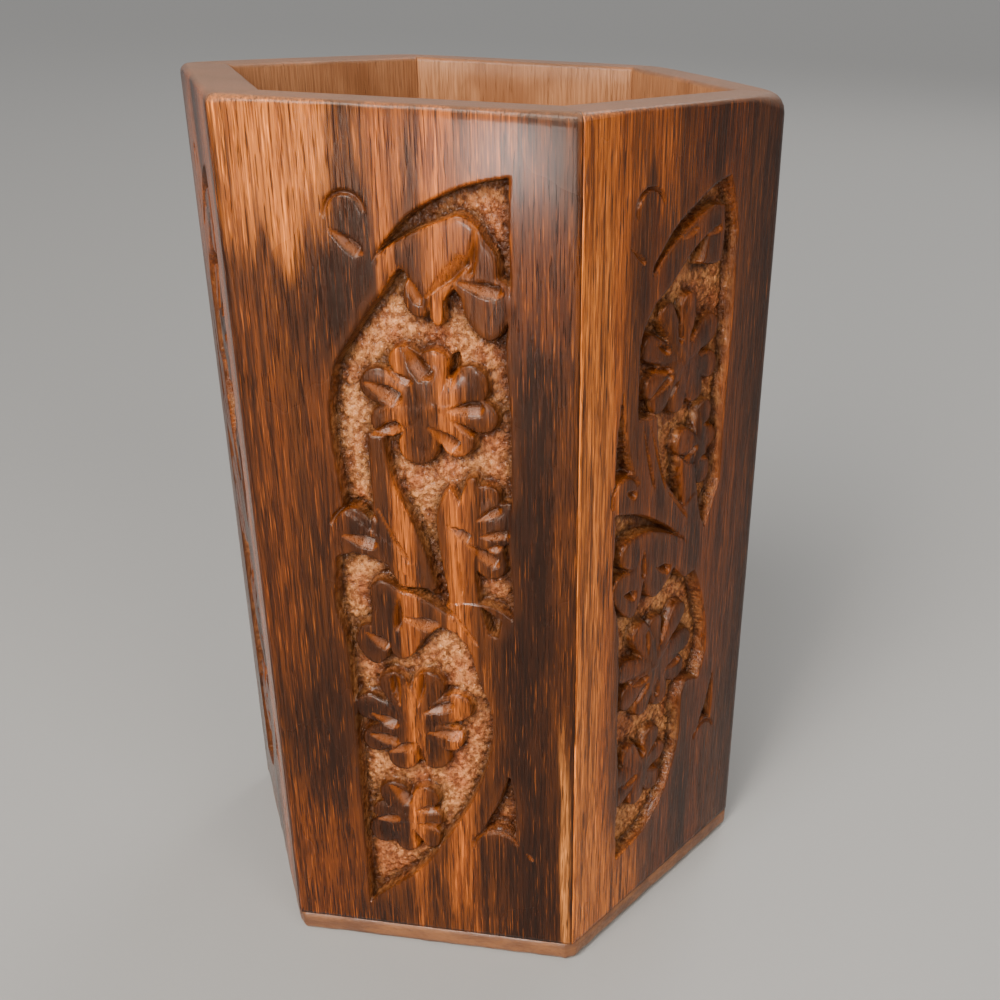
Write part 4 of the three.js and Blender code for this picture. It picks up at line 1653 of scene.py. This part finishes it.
@dataclass(frozen=True)
class LacqueredHardwood:
    """Figured hardwood under a glossy lacquer, paler where it is punched, paler on raised edges as rubbed
    wear and painted highlight, and darker in hollows with painted shade.
    """

    board: Board
    turn: float
    side: float
    sway: float = 0.007  # metres by which the bands across the board wander
    wobble: float = 0.004
    wobble_along: float = 0.03
    cloud_edge: Tuple[float, float] = (1.4, 0.15)  # squared share of its reach, outer and inner
    ground_figure: float = 0.35  # how much of the wood's figure shows in the punched ground
    ground_dull: float = 0.15
    # Tints laid by the masks: paler fresh gouge cuts, painted shade in hollows (partly stain pooling), and
    # rubbed wear with a painted highlight on raised edges.
    cut_tints: Tuple[Tuple[str, float, Colour], ...] = (
        ("cut", 0.45, AMBER), ("hollow_shade_and_stain", 0.8, BLACK_BROWN), ("worn", 0.08, AMBER))
    rim: Colour = (0.20, 0.105, 0.062)
    rim_share: float = 0.85
    inner_fibres: Tuple[float, ...] = (0.35, 0.65, 0.25, 1.0)  # range of the fibres, then of INNER
    smear: Tuple[float, ...] = (0.3, 0.7, 0.24, 0.36)  # range of the smears, then of roughness
    cut_gloss: float = -0.08
    dull: float = 0.25  # roughness added on the inside and the rim
    fibre_height: float = 0.6
    grit_depth: float = 5.0
    specular: float = 0.22
    specular_tint: Colour = (1.0, 0.82, 0.66)
    coat: float = 0.12
    coat_roughness: float = 0.16
    relief: float = 0.7
    relief_height: float = 0.0002  # metres

    def material(self, name: str) -> bpy.types.Material:
        """Build the finish for one panel.

        Args:
            name: Name of the material.

        Returns:
            The material, which reads the panel's masks.
        """
        g = Graph(name, self.turn, self.board.log)
        fibres = g.noise(FIBRES)
        pores = g.noise(PORES)
        pit_noise = g.noise(SHADED_PITS)
        figure = self._wood(g, fibres, pores)
        colour = g.mix(g.mask("ground"), figure, self._punched(g, figure, pit_noise))
        # Lays the fresh-cut tint, the painted shade in hollows and the partly painted edge highlight.
        for mask, share, tone in self.cut_tints:
            colour = g.mix(g.masked(mask, share), colour, tone)
        colour = g.mix(g.mask("inside"), colour, self._inner(g, fibres))
        g.put("Base Color", g.mix(g.masked("rim", self.rim_share), colour, self.rim))
        g.put("Roughness", self._roughness(g))
        g.put("Specular IOR Level", self.specular)
        g.put("Specular Tint", self.specular_tint)
        g.put("Coat Weight", self.coat)
        g.put("Coat Roughness", self.coat_roughness)
        height = g.maths("MULTIPLY_ADD", self._open(g, pores), -1.0,
                         g.maths("MULTIPLY", fibres, self.fibre_height))
        pits = g.maths("MULTIPLY", pit_noise, g.mask("ground"))
        g.bump(g.maths("MULTIPLY_ADD", pits, -self.grit_depth, height), self.relief,
               self.relief_height)
        return g.material

    def _wood(self, g: Graph, fibres: bpy.types.NodeSocket,
              pores: bpy.types.NodeSocket) -> bpy.types.NodeSocket:
        """Colour the upright-grained wood.

        Args:
            g: The material under construction.
            fibres: Noise of the fibres.
            pores: Noise of the pores.

        Returns:
            The colour.
        """
        across = add_node(g.tree, "ShaderNodeSeparateXYZ", {0: g.place()})
        wobble = g.noise(WOBBLE)
        x = g.maths("MULTIPLY_ADD", g.noise(SWAY), self.sway, across.outputs["X"])
        x = g.maths("MULTIPLY_ADD", wobble, self.wobble, x)
        x = g.maths("SUBTRACT", x, (self.sway + self.wobble) / 2)
        z = g.maths("MULTIPLY_ADD", wobble, self.wobble_along, across.outputs["Z"])
        z = g.maths("SUBTRACT", z, self.wobble_along / 2)
        figure = g.ramp(g.maths("MULTIPLY_ADD", x, 1 / self.side, 0.5), self.board.bands)
        for cloud in self.board.clouds:
            figure = self._cloud(g, cloud, (x, z), figure)
        layers = ((g.noise(STREAKS), STREAKS), (g.noise(WARMTH), WARMTH), (fibres, FIBRES),
                  (pores, PORES), (g.noise(FLECKS), FLECKS))
        for noise, grain in layers:
            figure = g.tinted(figure, noise, grain)
        return figure

    def _cloud(self, g: Graph, cloud: Cloud, place: Sequence[bpy.types.NodeSocket],
               figure: bpy.types.NodeSocket) -> bpy.types.NodeSocket:
        """Lay one cloud over the figure.

        Args:
            g: The material under construction.
            cloud: The cloud to lay.
            place: Where the wood is, across and up, in metres.
            figure: The colour below.

        Returns:
            The colour with the cloud.
        """
        centre = cloud.centre[0] * MM - self.side / 2, cloud.centre[1] * MM
        terms = []
        for at, middle, reach in zip(place, centre, cloud.reach):
            away = g.maths("DIVIDE", g.maths("SUBTRACT", at, middle), reach * MM)
            terms.append(g.maths("MULTIPLY", away, away))
        share = g.between(g.maths("ADD", *terms), *self.cloud_edge, 0.0, cloud.share)
        return g.mix(share, figure, cloud.colour)

    def _punched(self, g: Graph, figure: bpy.types.NodeSocket,
                 pit_noise: bpy.types.NodeSocket) -> bpy.types.NodeSocket:
        """Colour the punched ground, paler than the face, with painted shade in its fine pits.

        Args:
            g: The material under construction.
            figure: Colour of the wood.
            pit_noise: Noise of the fine pits, which also lays the painted shade in them.

        Returns:
            The colour.
        """
        punched = g.tinted(GROUND, g.noise(BLOTCH), BLOTCH)
        # Painted shade: darker where the pit noise sinks the bump.
        punched = g.tinted(punched, pit_noise, SHADED_PITS)
        return g.mix(self.ground_figure, punched, g.mix(1.0, punched, figure, "MULTIPLY"))

    def _inner(self, g: Graph, fibres: bpy.types.NodeSocket) -> bpy.types.NodeSocket:
        """Colour the inner face, stained here and there.

        Args:
            g: The material under construction.
            fibres: Noise of the fibres.

        Returns:
            The colour.
        """
        inner = g.mix(g.between(fibres, *self.inner_fibres), INNER_DARK, INNER)
        return g.tinted(inner, g.noise(STAIN), STAIN)

    def _roughness(self, g: Graph) -> bpy.types.NodeSocket:
        """Smear the lacquer on the face and dull it on the ground, the rim and the inside.

        Args:
            g: The material under construction.

        Returns:
            The roughness.
        """
        dull = g.maths("MAXIMUM", g.masked("ground", self.ground_dull), g.mask("inside"))
        dull = g.maths("MAXIMUM", dull, g.mask("rim"))
        gloss = g.between(g.noise(SMEAR), *self.smear)
        gloss = g.maths("MULTIPLY_ADD", g.mask("cut"), self.cut_gloss, gloss)
        return g.maths("MULTIPLY_ADD", dull, self.dull, gloss)

    @staticmethod
    def _open(g: Graph, pores: bpy.types.NodeSocket) -> bpy.types.NodeSocket:
        """How open the pores are, from 0 to 1."""
        tint = PORES.tints[0]
        return g.between(pores, tint.start, tint.full)


@dataclass(frozen=True)
class PaleBoard:
    """The base board's plainer wood, its grain lying flat, under a thin satin finish."""

    turn: float = 0.35  # of the grain, in radians
    grain: Grain = Grain((16, 500, 500), detail=4, rough=0.6, warp=0.2,
                         tints=(Tint(0.35, 0.65, 1.0, BOARD_LIGHT),))
    fine: Grain = Grain((120, 3500, 3500), detail=2, tints=(Tint(0.5, 0.7, 0.5, BOARD_DARK),))
    satin: Tuple[float, ...] = (0.3, 0.7, 0.38, 0.55)  # range of the fine grain, then of roughness
    coat: float = 0.2
    coat_roughness: float = 0.25
    relief: float = 0.3
    relief_height: float = 0.0002

    def material(self, name: str) -> bpy.types.Material:
        """Build the finish of the base board.

        Args:
            name: Name of the material.

        Returns:
            The material.
        """
        g = Graph(name, self.turn)
        fine = g.noise(self.fine)
        colour = g.tinted(BOARD_DARK, g.noise(self.grain), self.grain)
        g.put("Base Color", g.tinted(colour, fine, self.fine))
        g.put("Roughness", g.between(fine, *self.satin))
        g.put("Coat Weight", self.coat)
        g.put("Coat Roughness", self.coat_roughness)
        g.bump(fine, self.relief, self.relief_height)
        return g.material


@dataclass(frozen=True)
class PinSteel:
    """Drawn steel, dulled, with a little rust in spots."""

    bare: Colour = (0.36, 0.345, 0.32)
    spots: Grain = Grain((1400, 1400, 1400), detail=4, rough=0.6,
                         tints=(Tint(0.5, 0.68, 1.0, (0.12, 0.055, 0.028)),))  # rust
    dulled: Tuple[float, ...] = (0.4, 0.7, 0.34, 0.7)  # range of the spots, then of roughness
    metallic: float = 0.9
    relief: float = 0.3
    relief_height: float = 0.0001

    def material(self, name: str) -> bpy.types.Material:
        """Build the finish of the pins.

        Args:
            name: Name of the material.

        Returns:
            The material.
        """
        g = Graph(name)
        spots = g.noise(self.spots)
        g.put("Base Color", g.tinted(self.bare, spots, self.spots))
        g.put("Roughness", g.between(spots, *self.dulled))
        g.put("Metallic", self.metallic)
        g.bump(spots, self.relief, self.relief_height)
        return g.material


# ---------------------------------------------------------------------------------------
# Stage
# ---------------------------------------------------------------------------------------


@dataclass(frozen=True)
class Softbox:
    """A square area light aimed at the cup."""

    name: str
    place: Triple
    aim: Triple
    size: float
    watts: float
    colour: Colour = (1.0, 1.0, 1.0)


@dataclass
class Studio:
    """The floor, the lights and the camera."""

    floor_reach: float = 14.0
    floor_tone: Colour = (0.30, 0.295, 0.285)
    floor_roughness: float = 0.55
    world_tone: Colour = (0.85, 0.86, 0.88)
    world_strength: float = 0.45
    sun_from: Triple = (-0.22, -0.62, 0.75)
    sun_strength: float = 1.9
    sun_spread: float = 24.0  # degrees across
    sun_tone: Colour = (1.0, 0.975, 0.94)
    camera_place: Triple = (0.03619, -0.14017, 0.11368)
    camera_forward: Triple = (-0.09721, 0.89301, -0.43941)
    camera_right: Triple = (0.99135, 0.126, 0.03675)
    lens: float = 42.36
    shift: Tuple[float, float] = (-0.14, 0.045)
    sensor: float = 36.0
    nearest: float = 0.01  # metres, where the view begins
    lights: Tuple[Softbox, ...] = (
        Softbox("lamp", (-0.08, -0.24, 0.25), (0.0, -0.03, 0.10), 0.13, 1.25, (1.0, 0.95, 0.88)),
        Softbox("window", (-0.20, -0.95, 0.24), (0.0, 0.0, 0.09), 0.24, 4.0, (1.0, 0.78, 0.62)),
        Softbox("glint", (-0.076, -0.40, 0.046), (0.0, 0.0, 0.09), 0.03, 0.42, (1.0, 0.93, 0.9)),
        Softbox("back", (0.30, 0.75, 0.90), (0.0, 0.0, 0.05), 0.50, 5.0, (1.0, 0.97, 0.93)),
        Softbox("fill", (0.55, -0.55, 0.42), (0.0, 0.0, 0.05), 0.35, 3.8, (1.0, 0.95, 0.88)),
    )

    def build(self) -> None:
        """Lay the floor and set up the world, the lights and the camera."""
        self._floor()
        self._world()
        self._sun()
        for light in self.lights:
            self._light(light)
        self._camera()

    def _floor(self) -> None:
        """A wide plain floor at the cup's own resting height."""
        r = self.floor_reach
        mesh = bpy.data.meshes.new("floor")
        mesh.from_pydata([(-r, -r, 0), (r, -r, 0), (r, r, 0), (-r, r, 0)], [], [(0, 1, 2, 3)])
        floor = bpy.data.objects.new("floor", mesh)
        bpy.context.scene.collection.objects.link(floor)
        g = Graph("floor_paint")
        g.put("Base Color", self.floor_tone)
        g.put("Roughness", self.floor_roughness)
        mesh.materials.append(g.material)

    def _world(self) -> None:
        """Even light from all round."""
        world = bpy.data.worlds.new("room")
        world.use_nodes = True
        background = world.node_tree.nodes["Background"]
        background.inputs["Color"].default_value = (*self.world_tone, 1.0)
        background.inputs["Strength"].default_value = self.world_strength
        bpy.context.scene.world = world

    def _sun(self) -> None:
        """The broad main light, the same everywhere on the floor."""
        data = bpy.data.lights.new("sun", "SUN")
        data.energy, data.angle = self.sun_strength, math.radians(self.sun_spread)
        data.color = self.sun_tone
        sun = bpy.data.objects.new("sun", data)
        sun.rotation_euler = (-Vector(self.sun_from)).to_track_quat("-Z", "Y").to_euler()
        bpy.context.scene.collection.objects.link(sun)

    @staticmethod
    def _light(light: Softbox) -> None:
        """Hang one softbox.

        Args:
            light: The softbox to hang.
        """
        data = bpy.data.lights.new(light.name, "AREA")
        data.energy, data.size, data.color = light.watts, light.size, light.colour
        lamp = bpy.data.objects.new(light.name, data)
        lamp.location = light.place
        aim = Vector(light.aim) - Vector(light.place)
        lamp.rotation_euler = aim.to_track_quat("-Z", "Y").to_euler()
        lamp.visible_camera = False
        bpy.context.scene.collection.objects.link(lamp)

    def _camera(self) -> None:
        """Stand the camera where the cup is seen from, a little to the right and above."""
        data = bpy.data.cameras.new("camera")
        data.sensor_width, data.lens = self.sensor, self.lens
        data.shift_x, data.shift_y = self.shift
        data.clip_start = self.nearest
        camera = bpy.data.objects.new("camera", data)
        forward = Vector(self.camera_forward).normalized()
        right = Vector(self.camera_right).normalized()
        up = right.cross(forward)
        axes = Matrix((right, up, -forward)).transposed().to_4x4()
        camera.matrix_world = Matrix.Translation(self.camera_place) @ axes
        bpy.context.scene.collection.objects.link(camera)
        bpy.context.scene.camera = camera


# ---------------------------------------------------------------------------------------
# The cup
# ---------------------------------------------------------------------------------------

HANDS: Dict[Place, Hand] = {
    Place.FRONT: Hand(seed=100),
    Place.FRONT_RIGHT: Hand(seed=200),
    Place.BACK_RIGHT: Hand(seed=300, drift_up=-0.3, drift_low=-0.9),
    Place.BACK: Hand(seed=400, drift_up=0.6, drift_low=0.9),
    Place.BACK_LEFT: Hand(seed=500, drift_up=0.3, drift_low=-0.4),
    Place.FRONT_LEFT: Hand(seed=600, drift_up=0.4, drift_low=1.1),
}


@dataclass
class PenCup:
    """The whole cup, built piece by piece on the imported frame."""

    sizes: CupSizes
    wear: Wear

    def build(self) -> None:
        """Make every piece, dress it and hand it to the frame."""
        designs = scroll_and_blossom(), ribbon_and_blossom()
        for place in Place:
            design = designs[place.value % 2]
            panel = CarvedPanel(self.sizes, place, HANDS[place], self.wear).build(design)
            finish = LacqueredHardwood(BOARDS[place], place.turn, self.sizes.side * MM)
            settle(panel, finish.material(place.stem + "_hardwood"),
                   [place.stem + "_panel"])
        board = BaseBoard(self.sizes).build()
        settle(board, PaleBoard().material("base_hardwood"), ["base_board"])
        steel = PinSteel().material("pin_steel")
        pins = BasePins(self.sizes).build(steel)
        settle(pins, steel, [place.stem + "_base_pin" for place in Place])


def main() -> None:
    """Build the cup and its studio."""
    logging.basicConfig(level=logging.INFO, format="%(name)s: %(message)s")
    Studio().build()
    PenCup(CupSizes.from_frame(), Wear()).build()


if __name__ == "__main__":
    main()
